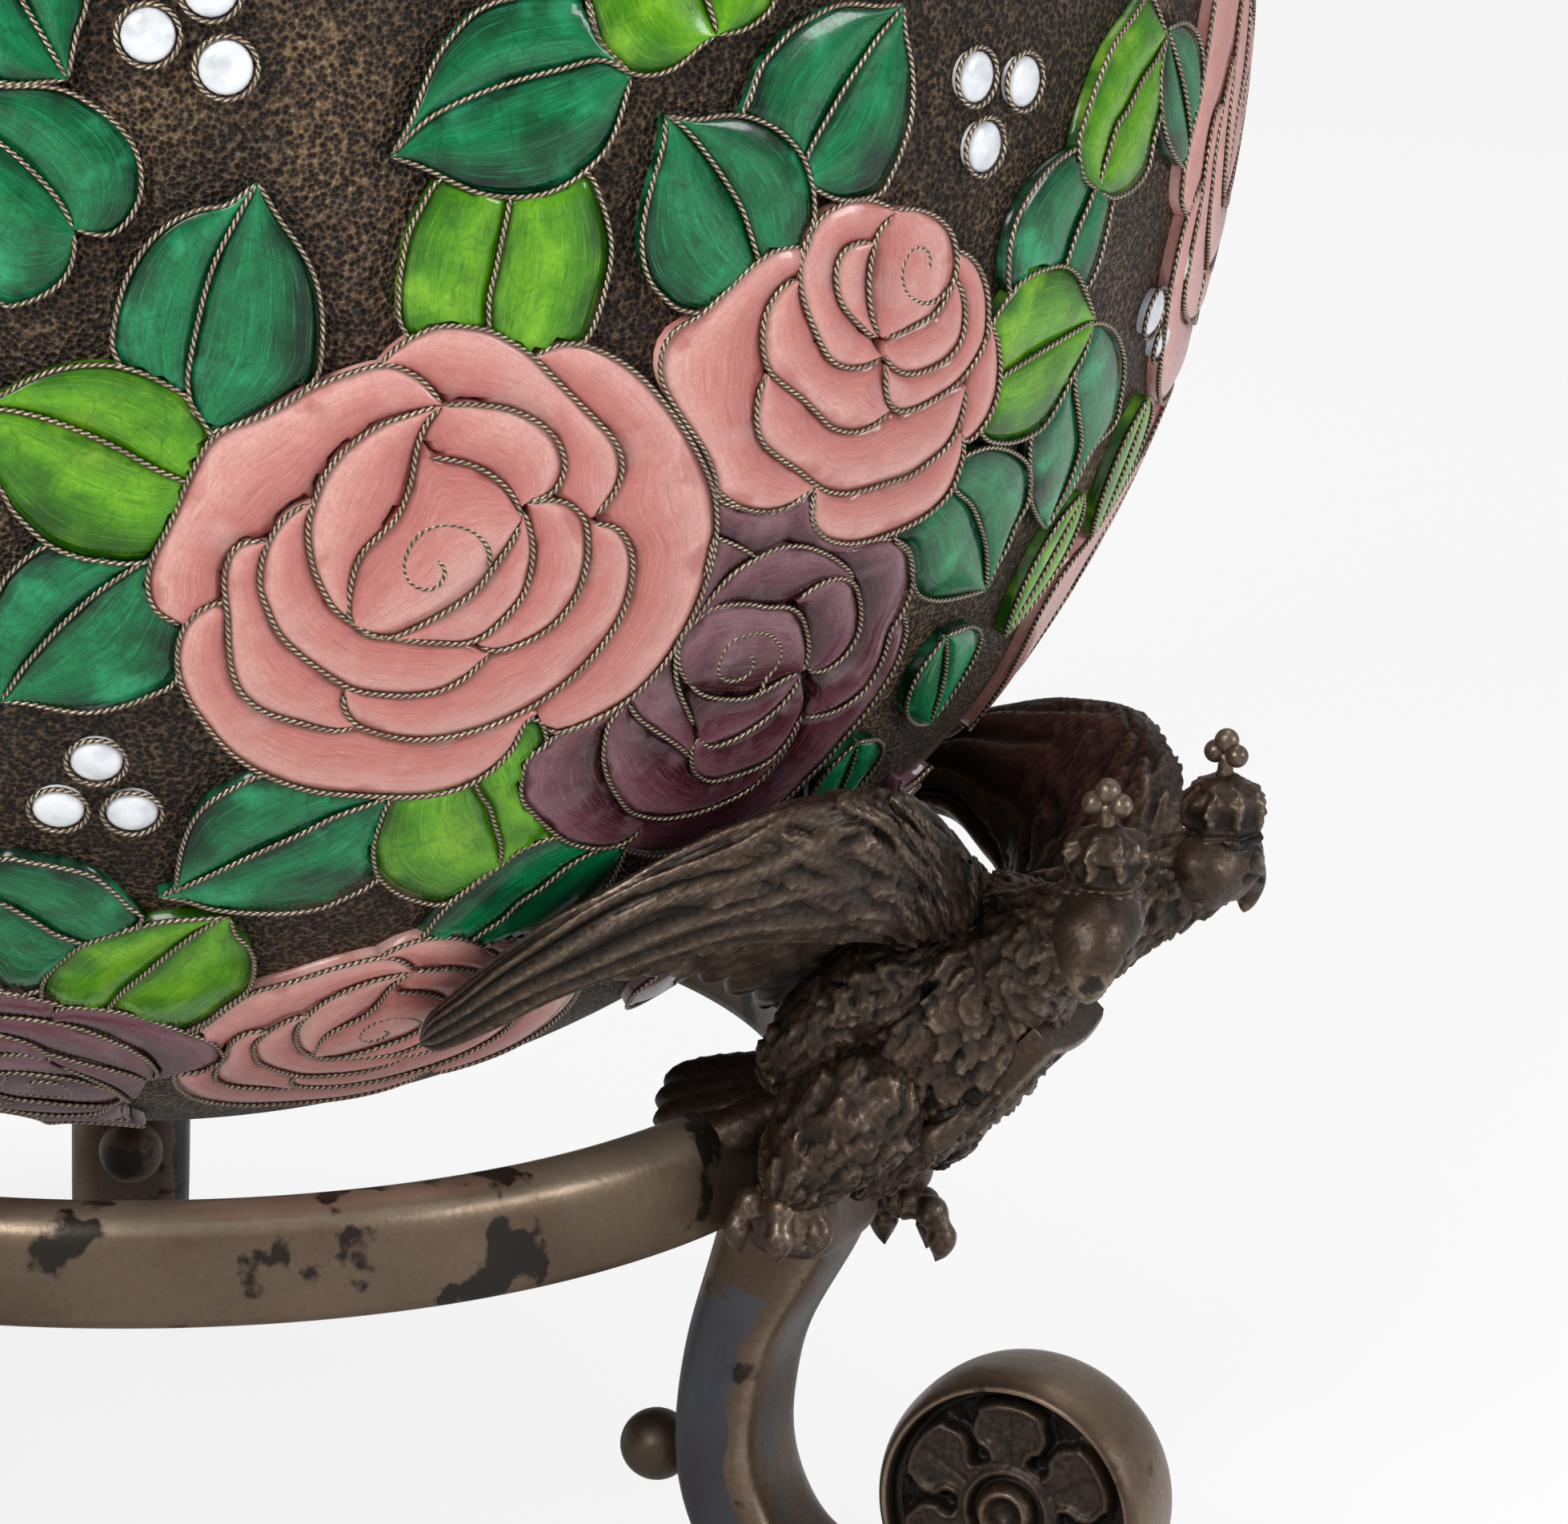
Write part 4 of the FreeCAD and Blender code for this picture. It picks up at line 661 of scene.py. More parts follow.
# Leaves: kind, midrib, then the two edges, each from the tip to the hidden root.
tracedLeaves = [
    ("lightGreen", [(640, 225), (636, 262), (628, 300), (620, 340), (612, 375), (612, 430)], [(600, 205), (550, 225),
     (530, 255), (512, 290), (503, 330), (499, 370), (503, 410), (540, 450)], [(690, 205), (735, 217), (750, 245),
     (762, 285), (765, 320), (758, 360), (748, 395), (733, 425), (690, 460)]),
    ("darkGreen", [(488, 196), (520, 162), (550, 140), (600, 117), (650, 100), (700, 87), (753, 75), (790, 94)],
     [(488, 196), (500, 178), (515, 150), (530, 110), (548, 70), (575, 35), (600, 12), (640, -2), (700, -8), (735, 0),
     (750, 50), (790, 93)], [(488, 197), (510, 203), (540, 215), (570, 230), (600, 242), (640, 247), (680, 243),
     (710, 230), (735, 212), (760, 185), (775, 150), (785, 115), (790, 95)]),
    ("lightGreen", [(897, 43), (893, 25), (885, 0), (870, -60), (850, -120)], [(897, 45), (880, 55), (850, 82),
     (820, 94), (790, 92), (770, 75), (750, 50), (735, 0), (740, -60), (800, -130)], [(897, 45), (930, 38), (955, 22),
     (970, 0), (975, -50), (930, -120)]),
    ("darkGreen", [(1130, 5), (1120, 20), (1100, 45), (1080, 75), (1060, 105), (1040, 140), (1020, 175), (1010, 197),
     (1000, 225)], [(1130, 5), (1100, 8), (1070, 5), (1045, 8), (1020, 20), (995, 35), (975, 55), (955, 80),
     (945, 105), (937, 130), (930, 142), (960, 190), (1000, 225)], [(1130, 5), (1133, 40), (1140, 75), (1143, 110),
     (1140, 150), (1128, 190), (1115, 220), (1100, 243), (1050, 250), (1000, 225)]),
    ("darkGreen", [(832, 145), (850, 155), (870, 175), (893, 205), (913, 235), (930, 265), (946, 315), (960, 350)],
     [(832, 145), (832, 170), (825, 200), (815, 235), (807, 270), (803, 300), (806, 330), (815, 355), (830, 372),
     (852, 388), (900, 390), (960, 360)], [(832, 145), (870, 150), (900, 145), (930, 145), (960, 155), (985, 172),
     (1005, 197), (1015, 225), (1019, 250), (1018, 278), (1000, 330), (960, 360)]),
    ("darkGreen", [(322, 228), (308, 252), (290, 285), (272, 320), (258, 360), (247, 405), (238, 450), (235, 487),
     (250, 545)], [(322, 228), (285, 256), (250, 262), (215, 278), (185, 305), (160, 345), (147, 385), (140, 430),
     (152, 460), (190, 520), (250, 545)], [(322, 228), (335, 250), (352, 278), (375, 310), (393, 345), (402, 385),
     (403, 430), (392, 478), (330, 520), (250, 545)]),
    ("darkGreen", [(92, 288), (80, 262), (60, 235), (30, 205), (0, 180), (-60, 140), (-120, 110)], [(92, 287),
     (130, 295), (155, 282), (172, 255), (177, 225), (170, 190), (150, 160), (120, 135), (85, 115), (50, 108),
     (0, 108), (-60, 100), (-120, 105)], [(92, 290), (93, 310), (88, 335), (75, 355), (50, 372), (20, 382), (0, 380),
     (-60, 330), (-110, 220), (-120, 110)]),
    ("darkGreen", [(85, 100), (50, 40), (10, -30), (-20, -90)], [(85, 100), (0, 103), (-60, 60), (-60, -40),
     (-20, -90)], [(85, 100), (95, 45), (108, 0), (90, -60), (-20, -90)]),
    ("darkGreen", [(0, 878), (10, 865), (30, 835), (60, 800), (90, 770), (120, 743), (150, 722), (200, 690)],
     [(0, 878), (-25, 800), (0, 735), (15, 715), (35, 697), (60, 683), (120, 670), (200, 690)], [(0, 878), (30, 880),
     (70, 888), (110, 892), (150, 885), (185, 872), (222, 848), (235, 760), (200, 692)]),
    ("lightGreen", [(-60, 510), (0, 512), (50, 522), (100, 540), (150, 563), (200, 590), (250, 610)], [(-60, 510),
     (0, 495), (30, 478), (70, 463), (110, 457), (145, 458), (180, 468), (210, 483), (228, 493), (245, 515),
     (262, 543), (270, 580), (250, 610)], [(-60, 510), (-40, 560), (0, 612), (12, 635), (30, 655), (60, 682),
     (95, 697), (130, 703), (170, 705), (215, 690), (250, 612)]),
    ("darkGreen", [(198, 1122), (225, 1112), (260, 1097), (300, 1078), (340, 1060), (380, 1042), (420, 1022),
     (467, 1005), (500, 990)], [(198, 1122), (218, 1112), (222, 1090), (228, 1060), (240, 1030), (258, 1008),
     (285, 990), (315, 975), (330, 970), (400, 955), (500, 985)], [(198, 1122), (230, 1127), (265, 1138), (310, 1143),
     (360, 1143), (400, 1137), (430, 1125), (470, 1103), (500, 1060), (505, 1000)]),
    ("lightGreen", [(626, 1082), (627, 1060), (620, 1035), (612, 1010), (600, 993), (580, 950)], [(626, 1082),
     (600, 1100), (575, 1120), (555, 1132), (530, 1130), (500, 1120), (480, 1105), (470, 1090), (467, 1060),
     (475, 1030), (487, 1003), (520, 960), (580, 950)], [(627, 1082), (660, 1058), (700, 1047), (690, 960),
     (672, 900), (620, 930), (580, 950)]),
    ("darkGreen", [(540, 1215), (575, 1190), (600, 1170), (630, 1150), (650, 1130), (680, 1110), (710, 1085),
     (745, 1065), (790, 1045)], [(540, 1215), (523, 1183), (535, 1165), (550, 1145), (570, 1125), (600, 1103),
     (630, 1080), (660, 1060), (700, 1047), (760, 1040), (790, 1045)], [(540, 1215), (620, 1200), (700, 1160),
     (760, 1110), (790, 1045)]),
    ("darkGreen", [(-60, 1105), (0, 1130), (25, 1143), (50, 1158), (75, 1172), (130, 1190)], [(-60, 1105), (0, 1076),
     (40, 1080), (80, 1087), (115, 1097), (140, 1115), (160, 1135), (177, 1153), (130, 1190)], [(-60, 1105),
     (0, 1237), (50, 1240), (110, 1225), (130, 1190)]),
    ("lightGreen", [(287, 1148), (275, 1150), (240, 1172), (210, 1195), (180, 1220), (155, 1240), (137, 1260),
     (110, 1290)], [(287, 1148), (250, 1150), (210, 1153), (175, 1160), (140, 1170), (105, 1183), (80, 1200),
     (60, 1220), (52, 1240), (60, 1280), (110, 1300)], [(287, 1148), (295, 1170), (310, 1185), (318, 1205),
     (315, 1230), (305, 1245), (280, 1262), (250, 1283), (180, 1310), (110, 1300)]),
    ("darkGreen", [(1393, 163), (1385, 178), (1378, 205), (1365, 250), (1350, 285), (1335, 328), (1312, 380)],
     [(1393, 163), (1375, 178), (1350, 185), (1320, 205), (1295, 235), (1275, 270), (1265, 305), (1262, 340),
     (1265, 368), (1285, 385), (1312, 385)], [(1393, 163), (1397, 200), (1393, 250), (1385, 290), (1375, 330),
     (1362, 358), (1340, 380), (1312, 385)]),
    ("lightGreen", [(1460, 45), (1447, 75), (1430, 100), (1410, 140), (1397, 160), (1375, 230)], [(1460, 45),
     (1440, -5), (1420, 20), (1395, 55), (1373, 105), (1358, 150), (1350, 180), (1355, 220), (1375, 240)],
     [(1460, 45), (1470, 88), (1460, 120), (1445, 170), (1437, 210), (1420, 235), (1395, 248), (1375, 240)]),
    ("darkGreen", [(1308, 662), (1335, 610), (1352, 560), (1350, 520), (1345, 480), (1350, 430)], [(1308, 662),
     (1298, 648), (1290, 628), (1289, 610), (1290, 550), (1310, 490), (1350, 430)], [(1308, 662), (1325, 635),
     (1345, 605), (1368, 560), (1395, 530), (1402, 500), (1407, 460), (1402, 430), (1390, 410), (1370, 405),
     (1350, 425)]),
    ("lightGreen", [(1370, 400), (1345, 415), (1320, 430), (1295, 445), (1256, 470), (1225, 490)], [(1370, 400),
     (1357, 362), (1347, 342), (1330, 333), (1308, 337), (1285, 348), (1265, 368), (1235, 420), (1222, 485)],
     [(1368, 402), (1358, 440), (1340, 475), (1325, 505), (1305, 535), (1280, 550), (1255, 555), (1232, 548),
     (1222, 520), (1225, 490)]),
    ("darkGreen", [(1234, 738), (1234, 690), (1227, 660), (1215, 632), (1197, 615), (1175, 585)], [(1234, 738),
     (1200, 748), (1172, 752), (1150, 745), (1142, 725), (1138, 695), (1120, 672), (1130, 620), (1175, 585)],
     [(1234, 738), (1245, 712), (1260, 685), (1272, 655), (1287, 625), (1285, 580), (1240, 560), (1175, 585)]),
]
tracedDots = [(185, 45), (264, -12), (283, 86), (1227, 97), (1287, 103), (1237, 185), (120, 958), (72, 1018),
              (165, 1022)]
# The rest of each third, out of the photograph's sight. Roses: pattern, azimuth in degrees, height, size
# and turn. Leaves: kind, azimuth, height, tilt, length and breadth. Trios of dots: azimuth, height and turn.
moreRoses = {"egg": [("big", -13.0, 78.5, 10.7), ("big", -69.6, 38.0, 7.5), ("side", -10.0, 54.9, 9.9),
                     ("violet", 5.5, 64.9, 8.7), ("violet", -98.8, 35.4, 7.5, 180.0), ("violet", -27.0, 40.7, 7.7)],
             "lid": [("big", -76.0, 129.9, 9.2), ("violet", -16.0, 129.9, 8.2)]}
moreLeaves = {
    "egg": [("darkGreen", -29.5, 82.2, 36.0, 9.0, 5.4), ("darkGreen", -38.0, 54.8, 33.0, 7.6, 5.2),
            ("darkGreen", -42.5, 50.1, 20.0, 6.2, 4.5), ("darkGreen", -2.0, 89.4, -60.0, 9.0, 6.0),
            ("darkGreen", 16.0, 71.4, 30.0, 9.0, 5.8), ("darkGreen", 8.0, 51.3, -150.0, 9.0, 5.4),
            ("darkGreen", -14.0, 42.1, 100.0, 8.0, 5.0), ("lightGreen", -31.0, 59.6, -9.0, 8.0, 4.5),
            ("lightGreen", -23.5, 63.1, 12.0, 8.6, 5.4), ("lightGreen", 0.0, 73.2, 60.0, 8.0, 5.4),
            ("lightGreen", 13.0, 55.4, 15.0, 8.6, 5.4), ("lightGreen", -22.5, 92.1, 30.0, 7.4, 5.4)],
    "lid": [("darkGreen", -92.0, 124.4, -70.0, 9.0, 6.3), ("darkGreen", -60.0, 124.4, 70.0, 9.0, 6.3),
            ("darkGreen", -76.0, 146.3, 0.0, 8.4, 6.3), ("darkGreen", -31.0, 126.3, -80.0, 8.0, 5.9),
            ("darkGreen", -1.0, 126.3, 80.0, 8.0, 5.9), ("darkGreen", -76.0, 170.4, 0.0, 9.0, 5.9),
            ("darkGreen", -16.0, 170.4, 0.0, 9.0, 5.9), ("lightGreen", -90.0, 136.7, -40.0, 8.0, 5.9),
            ("lightGreen", -62.0, 136.7, 40.0, 8.0, 5.9), ("lightGreen", -76.0, 114.9, 180.0, 7.6, 7.2),
            ("lightGreen", -16.0, 144.5, 0.0, 8.0, 5.9)]}
moreDots = {"egg": [(-25.5, 71.7, 90.0), (10.0, 83.8, 180.0)],
            "lid": [(-46.0, 117.2, 0.0), (14.0, 117.2, 0.0), (-46.0, 149.9, 180.0)]}
# Heights above the ground, wire radius and twist, sampling steps of wires, overlaps and dots in mm, and
# the counts of points along and across a petal or a leaf half and round a wire.
cloisonne = {"lift": 0.50, "crown": 0.26, "edge": 0.34, "foot": -0.2, "wireLift": 0.66, "ringLift": 0.5,
             "wire": 0.115, "pitch": 0.72, "wireStep": 0.34, "runStep": 0.2, "tuck": 0.02, "wireTuck": 0.22,
             "dot": 1.22, "dotCrown": 0.38, "trio": 1.96, "rose": (36, 9), "leaf": (28, 8), "wireSides": 6}
# Piece, slot and replaced node of each colour.
enamelPieces = {"pink": ("_pink_petals", "pink_enamel", "_pink_roses"),
                "purple": ("_purple_petals", "purple_enamel", "_purple_roses"),
                "darkGreen": ("_dark_leaf_halves", "dark_green_enamel", "_dark_leaves"),
                "lightGreen": ("_light_leaf_halves", "light_green_enamel", "_light_leaves")}


def patternOf(rose):
    # A traced rose as lines round its own middle, with a mean radius of one.
    lines = [(chartOf(inner), chartOf(outer)) for inner, outer in rose["fields"]]
    wires = [chartOf(line) for line in rose["wires"]]
    everything = np.concatenate([outer for inner, outer in lines])
    middle = (everything.min(0) + everything.max(0)) / 2
    across = radiusAt(egg["centre"] + middle[1], 0) / egg["chart"]

    def local(line):
        return (line - middle) * np.array([across, 1.0])

    size = np.linalg.norm(local(everything), axis=1).mean() * 1.12
    return [(local(inner) / size, local(outer) / size) for inner, outer in lines], [local(w) / size for w in wires]


def placed(line, azimuth, height, turn, size):
    # A line of a flat pattern, turned and sized, laid on the chart at an azimuth and a height.
    c, s = cosSin(turn)
    flat = np.asarray(line) @ np.array([[c, s], [-s, c]]) * size
    climb = float(climbAt(height)) + flat[:, 1]
    radius = np.maximum(np.hypot(*onEgg(0.0, climb, 0.0)[:, :2].T), 2.0)
    return np.stack([(math.radians(azimuth) + flat[:, 0] / radius) * egg["chart"], climb], -1)


def leafLines(length, breadth):
    # Midrib and two edges of a pointed leaf, from its tip down.
    t = np.linspace(0, 1, 9)
    wide = breadth / 2 * np.sin(math.pi * t ** 0.85) ** 0.8
    rib = np.stack([0.06 * breadth * np.sin(math.pi * t), length * (0.5 - t)], -1)
    return rib, rib - np.stack([wide, 0 * wide], -1), rib + np.stack([wide, 0 * wide], -1)


def leafFields(kind, rib, left, right):
    # The two halves of a leaf. The wire of the midrib goes with the second.
    return [{"kind": kind, "inner": rib, "outer": left, "wires": [left]},
            {"kind": kind, "inner": rib, "outer": right, "wires": [right, rib]}]


def roseFields(kind, lines, wires, lay):
    # The petals of a rose, its lines laid on the chart. Its free wires go with the last.
    fields = []
    for inner, outer in lines:
        outer = lay(outer)
        fields.append({"kind": kind, "inner": lay(inner), "outer": outer, "wires": [outer]})
    fields[-1]["wires"] += [lay(line) for line in wires]
    return fields


def motifs(half):
    # Every field and wire of one third, lowest first.
    fields = []
    if half == "egg":
        for kind, *edges in tracedLeaves:
            fields += leafFields(kind, *map(chartOf, edges))
    for kind, azimuth, height, tilt, length, breadth in moreLeaves[half]:
        fields += leafFields(kind, *(placed(line, azimuth, height, tilt, 1.0) for line in leafLines(length, breadth)))
    if half == "egg":
        for rose in (purpleRose, bigRose, sideRose):
            fields += roseFields(rose["kind"], rose["fields"], rose["wires"], chartOf)
    roses = {"big": bigRose, "side": sideRose, "violet": purpleRose}
    patterns = {name: patternOf(rose) for name, rose in roses.items()}
    for name, azimuth, height, size, *turn in moreRoses[half]:
        fields += roseFields(roses[name]["kind"], *patterns[name],
                             lambda line: placed(line, azimuth, height, sum(turn), size))
    return fields


def outlineOf(field):
    return np.concatenate([flowLine(field["outer"], 40), flowLine(field["inner"], 40)[::-1]])


def coveredBy(points, outline, margin):
    # Which chart points lie inside an outline, by at least a margin: crossings of a ray, then distance.
    flat = points.reshape(-1, 2)
    near = np.all((flat > outline.min(0)) & (flat < outline.max(0)), axis=1)
    found = np.zeros(len(flat), bool)
    if near.any():
        p = flat[near][:, None]
        a, b = outline[None], np.roll(outline, -1, axis=0)[None]
        crosses = (a[..., 1] > p[..., 1]) != (b[..., 1] > p[..., 1])
        rise = np.where(np.abs(b[..., 1] - a[..., 1]) < 1e-9, 1e-9, b[..., 1] - a[..., 1])
        at = a[..., 0] + (p[..., 1] - a[..., 1]) * (b[..., 0] - a[..., 0]) / rise
        inside = (crosses & (p[..., 0] < at)).sum(1) % 2 == 1
        way = b - a
        share = np.clip(((p - a) * way).sum(-1) / np.maximum((way ** 2).sum(-1), 1e-9), 0, 1)
        gap = np.linalg.norm(p - a - way * share[..., None], axis=-1).min(1)
        found[near] = inside & (gap > margin)
    return found.reshape(points.shape[:-1])


def fieldSkin(field, over, along, across):
    # Ruled surface from the inner to the outer line, crowned across, with its border turned down to
    # the ground. It sinks where a later field lies over it.
    inner, outer = flowLine(field["inner"], along), flowLine(field["outer"], along)
    t = np.linspace(0, 1, across)
    chart = inner[:, None] * (1 - t)[None, :, None] + outer[:, None] * t[None, :, None]
    lift = cloisonne["lift"] + cloisonne["crown"] * (1 - (2 * t - 1) ** 2)[None] + 0 * chart[..., 0]
    for other in over:
        lift = np.where(coveredBy(chart, other, cloisonne["tuck"]), cloisonne["foot"], lift)
    uv = mapped(np.linspace(0, 1, along)[:, None] * along / 20, t[None])
    wearAndShading = np.broadcast_to((np.linalg.norm(inner - outer, axis=1) / 4)[:, None], (along, across))
    lift = np.pad(lift, 1, constant_values=cloisonne["foot"])
    return asSet(onChart(padded(chart), lift), padded(uv), padded(wearAndShading), False, eggMiddle)


def wireSkin(line, lift):
    # Round wire along a chart line, its ends drawn in to a point.
    line = flowLine(line, max(int(stepsOf(line).sum() / cloisonne["wireStep"]), 5))
    turn, climb = line[:, 0] / egg["chart"], line[:, 1]
    centre, out = onEgg(turn, climb, lift), awayFromEgg(turn, climb)
    side = np.cross(unit(np.gradient(centre, axis=0)), out)
    around = cloisonne["wireSides"]
    angle = fullTurn(around)
    size = np.full(len(line), cloisonne["wire"])
    size[[0, -1]] = 0.01
    grid = centre[:, None] + size[:, None, None] * (side[:, None] * np.cos(angle)[None, :, None]
                                                    + out[:, None] * np.sin(angle)[None, :, None])
    uv = mapped((lengthsAlong(centre) / cloisonne["pitch"] * 2)[:, None],
                np.abs(np.linspace(-1, 1, around, endpoint=False))[None])
    points = grid.reshape(-1, 3)
    return points, gridFaces(len(line), around, True), uv.reshape(-1, 2), np.full(len(points), 0.5)


def shownRuns(line, over):
    # The stretches of a wire that no later field covers.
    line = flowLine(line, max(int(stepsOf(line).sum() / cloisonne["runStep"]), 6))
    hidden = np.zeros(len(line), bool)
    for other in over:
        hidden |= coveredBy(line, other, cloisonne["wireTuck"])
    cuts = np.flatnonzero(np.diff(hidden.astype(int))) + 1
    return [run for run, gone in zip(np.split(line, cuts), np.split(hidden, cuts)) if not gone[0] and len(run) > 4]


def dotSkin(middle):
    # Domed disc of white enamel on the chart, and the line of its ring of wire.
    turn = fullTurn(20)
    share = np.array([0.0, 0.35, 0.62, 0.84, 0.97, 1.0, 1.0])
    lift = cloisonne["edge"] + cloisonne["dotCrown"] * np.sqrt(np.maximum(1 - (share * 0.98) ** 2, 0))
    lift[-1] = cloisonne["foot"]
    across = egg["chart"] / max(float(np.hypot(*onEgg(0.0, np.array([middle[1]]), 0.0)[0, :2])), 2.0)

    def circle(size):
        flat = np.stack([np.cos(turn) * across, np.sin(turn)], -1)
        return middle + flat * np.asarray(size)[..., None, None]

    chart = circle(share * (cloisonne["dot"] - 0.08))
    grid = onChart(chart, np.broadcast_to(lift[:, None], chart.shape[:2]))
    ring = circle(np.array(cloisonne["dot"] + 0.12))
    return asSet(grid, mapped(share[:, None], turn[None]), 0.5, True, eggMiddle), np.concatenate([ring, ring[:2]])


def enamelHalf(half, prefix):
    # All the enamel of one half of the egg: one piece for each colour, and two for the wires.
    fields = motifs(half)
    outlines = [outlineOf(field) for field in fields]
    skins, wires = {kind: [] for kind in enamelPieces}, {"rose": [], "leaf": []}
    for index, field in enumerate(fields):
        low, high = outlines[index].min(0), outlines[index].max(0)
        over = [other for other in outlines[index + 1:] if np.all(other.max(0) > low) and np.all(other.min(0) < high)]
        family = "rose" if field["kind"] in ("pink", "purple") else "leaf"
        skins[field["kind"]].append(fieldSkin(field, over, *cloisonne[family]))
        for line in field["wires"]:
            wires[family] += [wireSkin(run, cloisonne["wireLift"]) for run in shownRuns(line, over)]
    middles = list(chartOf(tracedDots)) if half == "egg" else []
    corners = np.array([[math.cos(a), math.sin(a)] for a in np.radians([90, 210, 330])]) * cloisonne["trio"]
    for azimuth, height, turn in moreDots[half]:
        middles += list(placed(corners, azimuth, height, turn, 1.0))
    discs, rings = zip(*map(dotSkin, middles))
    for kind, (tail, slot, replaced) in enamelPieces.items():
        makePiece(prefix + tail, inThirds(skins[kind]), enamels[kind], half, [prefix + replaced])
    makePiece(prefix + "_dot_domes", inThirds(discs), white, half, [prefix + "_white_dots"])
    makePiece(prefix + "_rose_wires", inThirds(wires["rose"]), wireFinish, half)
    wires["leaf"] += [wireSkin(ring, cloisonne["ringLift"]) for ring in rings]
    makePiece(prefix + "_leaf_wires", inThirds(wires["leaf"]), wireFinish, half)
    print(prefix, "enamel made,", len(fields), "fields in each third")


def shellHalf(upper):
    # Profile of one half of the shell: outer side, plain band beside the seam, seam face, inner side.
    pole = upperArcs if upper else lowerArcs
    sign = 1 if upper else -1
    top = sign * (pole[1] * pole[3] + pole[0] * (math.pi / 2 - pole[3]))
    band = np.linspace(egg["seam"] + sign * egg["band"], egg["seam"], 5)
    outer = np.linspace(top, float(climbAt(band[0])), egg["outerRows"])
    inner = np.linspace(float(climbAt(egg["seam"], -egg["wall"])), top, egg["innerRows"])
    profile = np.concatenate([onEgg(0.0, outer, 0.0)[:, [0, 2]], np.stack([radiusAt(band, egg["relief"]), band], -1),
                              [[radiusAt(egg["seam"], -egg["wall"]), egg["seam"]]],
                              onEgg(0.0, inner, -egg["wall"])[:, [0, 2]]])
    profile[[0, -1], 0] = 0.0
    return lathe(profile, (0, 0, 0), (0, 0, 1), egg["around"])


enamelHalf("egg", "lower")
enamelHalf("lid", "lid")
makePiece("lower_ground", shellHalf(False), ground, "egg", ["lower_shell"])
makePiece("lid_ground", shellHalf(True), ground, "lid", ["lid_shell"])
print("egg made")

# Stand. The pieces of one leg are worked out in its own plane, out from the axis along x, and copied
# to the three legs.

legs = {"right": -30.0, "back": 90.0, "left": 210.0}


def onEachLeg(tail, part, material, replaced):
    for name, azimuth in legs.items():
        makePiece(name + tail, turnedBy(part, azimuth), material, "stand",
                  [name + other for other in replaced])


def limb(rows, hint, along, around, relief):
    # Closed loft: rows of (x, y, z, half width to the side, half height) on a smooth path, with a relief
    # worked out from the lengths along it and round it.
    rows = flowLine(rows, along)
    centre = rows[:, :3]
    way = unit(np.gradient(centre, axis=0))
    side = unit(np.asarray(hint, float) - way * (way @ np.asarray(hint, float))[:, None])
    up = np.cross(way, side)
    angle = fullTurn(around)
    half = np.maximum(rows[:, 3:5], 0.02)
    out = (side[:, None] * (half[:, :1] * np.cos(angle))[..., None]
           + up[:, None] * (half[:, 1:2] * np.sin(angle))[..., None])
    grid = centre[:, None] + out
    girth = half.mean(1)
    lengths = np.broadcast_to(lengthsAlong(centre)[:, None], grid.shape[:2])
    rise, wearAndShading = relief(lengths, angle[None] * girth.max() + 0 * lengths, grid, angle)
    grid = grid + unit(out) * (rise * smoothstep(girth / 0.9)[:, None])[..., None]
    return asSet(grid, mapped(lengths / 10, angle[None] / (2 * math.pi)), wearAndShading)


def tufts(along, sideways, length, width, seed, point=2.2):
    # Overlapping locks in rows, each half a lock aside from the row before: a lock rises from its root
    # to its tip and drops off there. Along grows towards the tips.
    random = np.random.default_rng(seed)
    table = random.uniform(-1, 1, (64, 64, 3))
    rows, columns = along / length, sideways / width
    best, edge = np.zeros(np.shape(along)), np.zeros(np.shape(along))
    for back in (1, 0):
        row = np.floor(rows) - back
        for aside in (-1, 0, 1):
            shift = 0.5 * (row % 2)
            column = np.floor(columns + shift) + aside
            jitter = table[(row % 64).astype(int), (column % 64).astype(int)]
            reach = 1.62 + 0.3 * jitter[..., 0]
            q = (rows - row - 0.15 * jitter[..., 1]) / reach
            x = columns + shift - column - 0.5 + 0.22 * jitter[..., 2] * np.clip(q, 0, 1) ** 2
            half = 0.60 * np.sqrt(np.clip(1 - np.clip(q, 0, 1) ** point, 0, 1)) + 0.02
            inside = smoothstep((half - np.abs(x)) / 0.16) * (q > 0) * (q < 1)
            lock = inside * (0.30 + 0.70 * np.clip(q, 0, 1)) * (1 - 0.30 * (x / half) ** 2)
            lock = lock * (1 - 0.22 * peak(x, 0, 0.09))
            better = lock > best
            best = np.where(better, lock, best)
            edge = np.where(better, inside, edge)
    return best, edge


def plumage(length, width, depth, seed, curl):
    # Relief of shaggy feathers: tufts on lines that wander, with hair lines on them and deep pits between.
    def relief(along, rounds, grid, angle):
        wander = ripple(grid, 3.4, seed) * curl
        drift = ripple(grid, 2.6, seed + 1) * curl
        girth = rounds.max() * len(angle) / (len(angle) - 1)
        count = max(round(girth / width), 3)
        rise, edge = tufts(along.max() - along + wander, (rounds + drift) * count * width / girth, length, width,
                           seed)
        hairs = np.sin((rounds + drift * 1.4) * 2 * math.pi / 0.34) * 0.05
        height = rise + hairs * edge
        # Wear and shading follow the height: the pits between tufts darker, partly patina and partly painted shade.
        return depth * (height - 0.55), np.clip(-0.02 + 0.92 * height, 0, 1)
    return relief


def smoothHide(along, rounds, grid, angle):
    # Relief of plain metal: slight unevenness only.
    rise = 0.05 * ripple(grid, 2.2, 3)
    return rise, np.clip(0.66 + rise * 2, 0, 1)


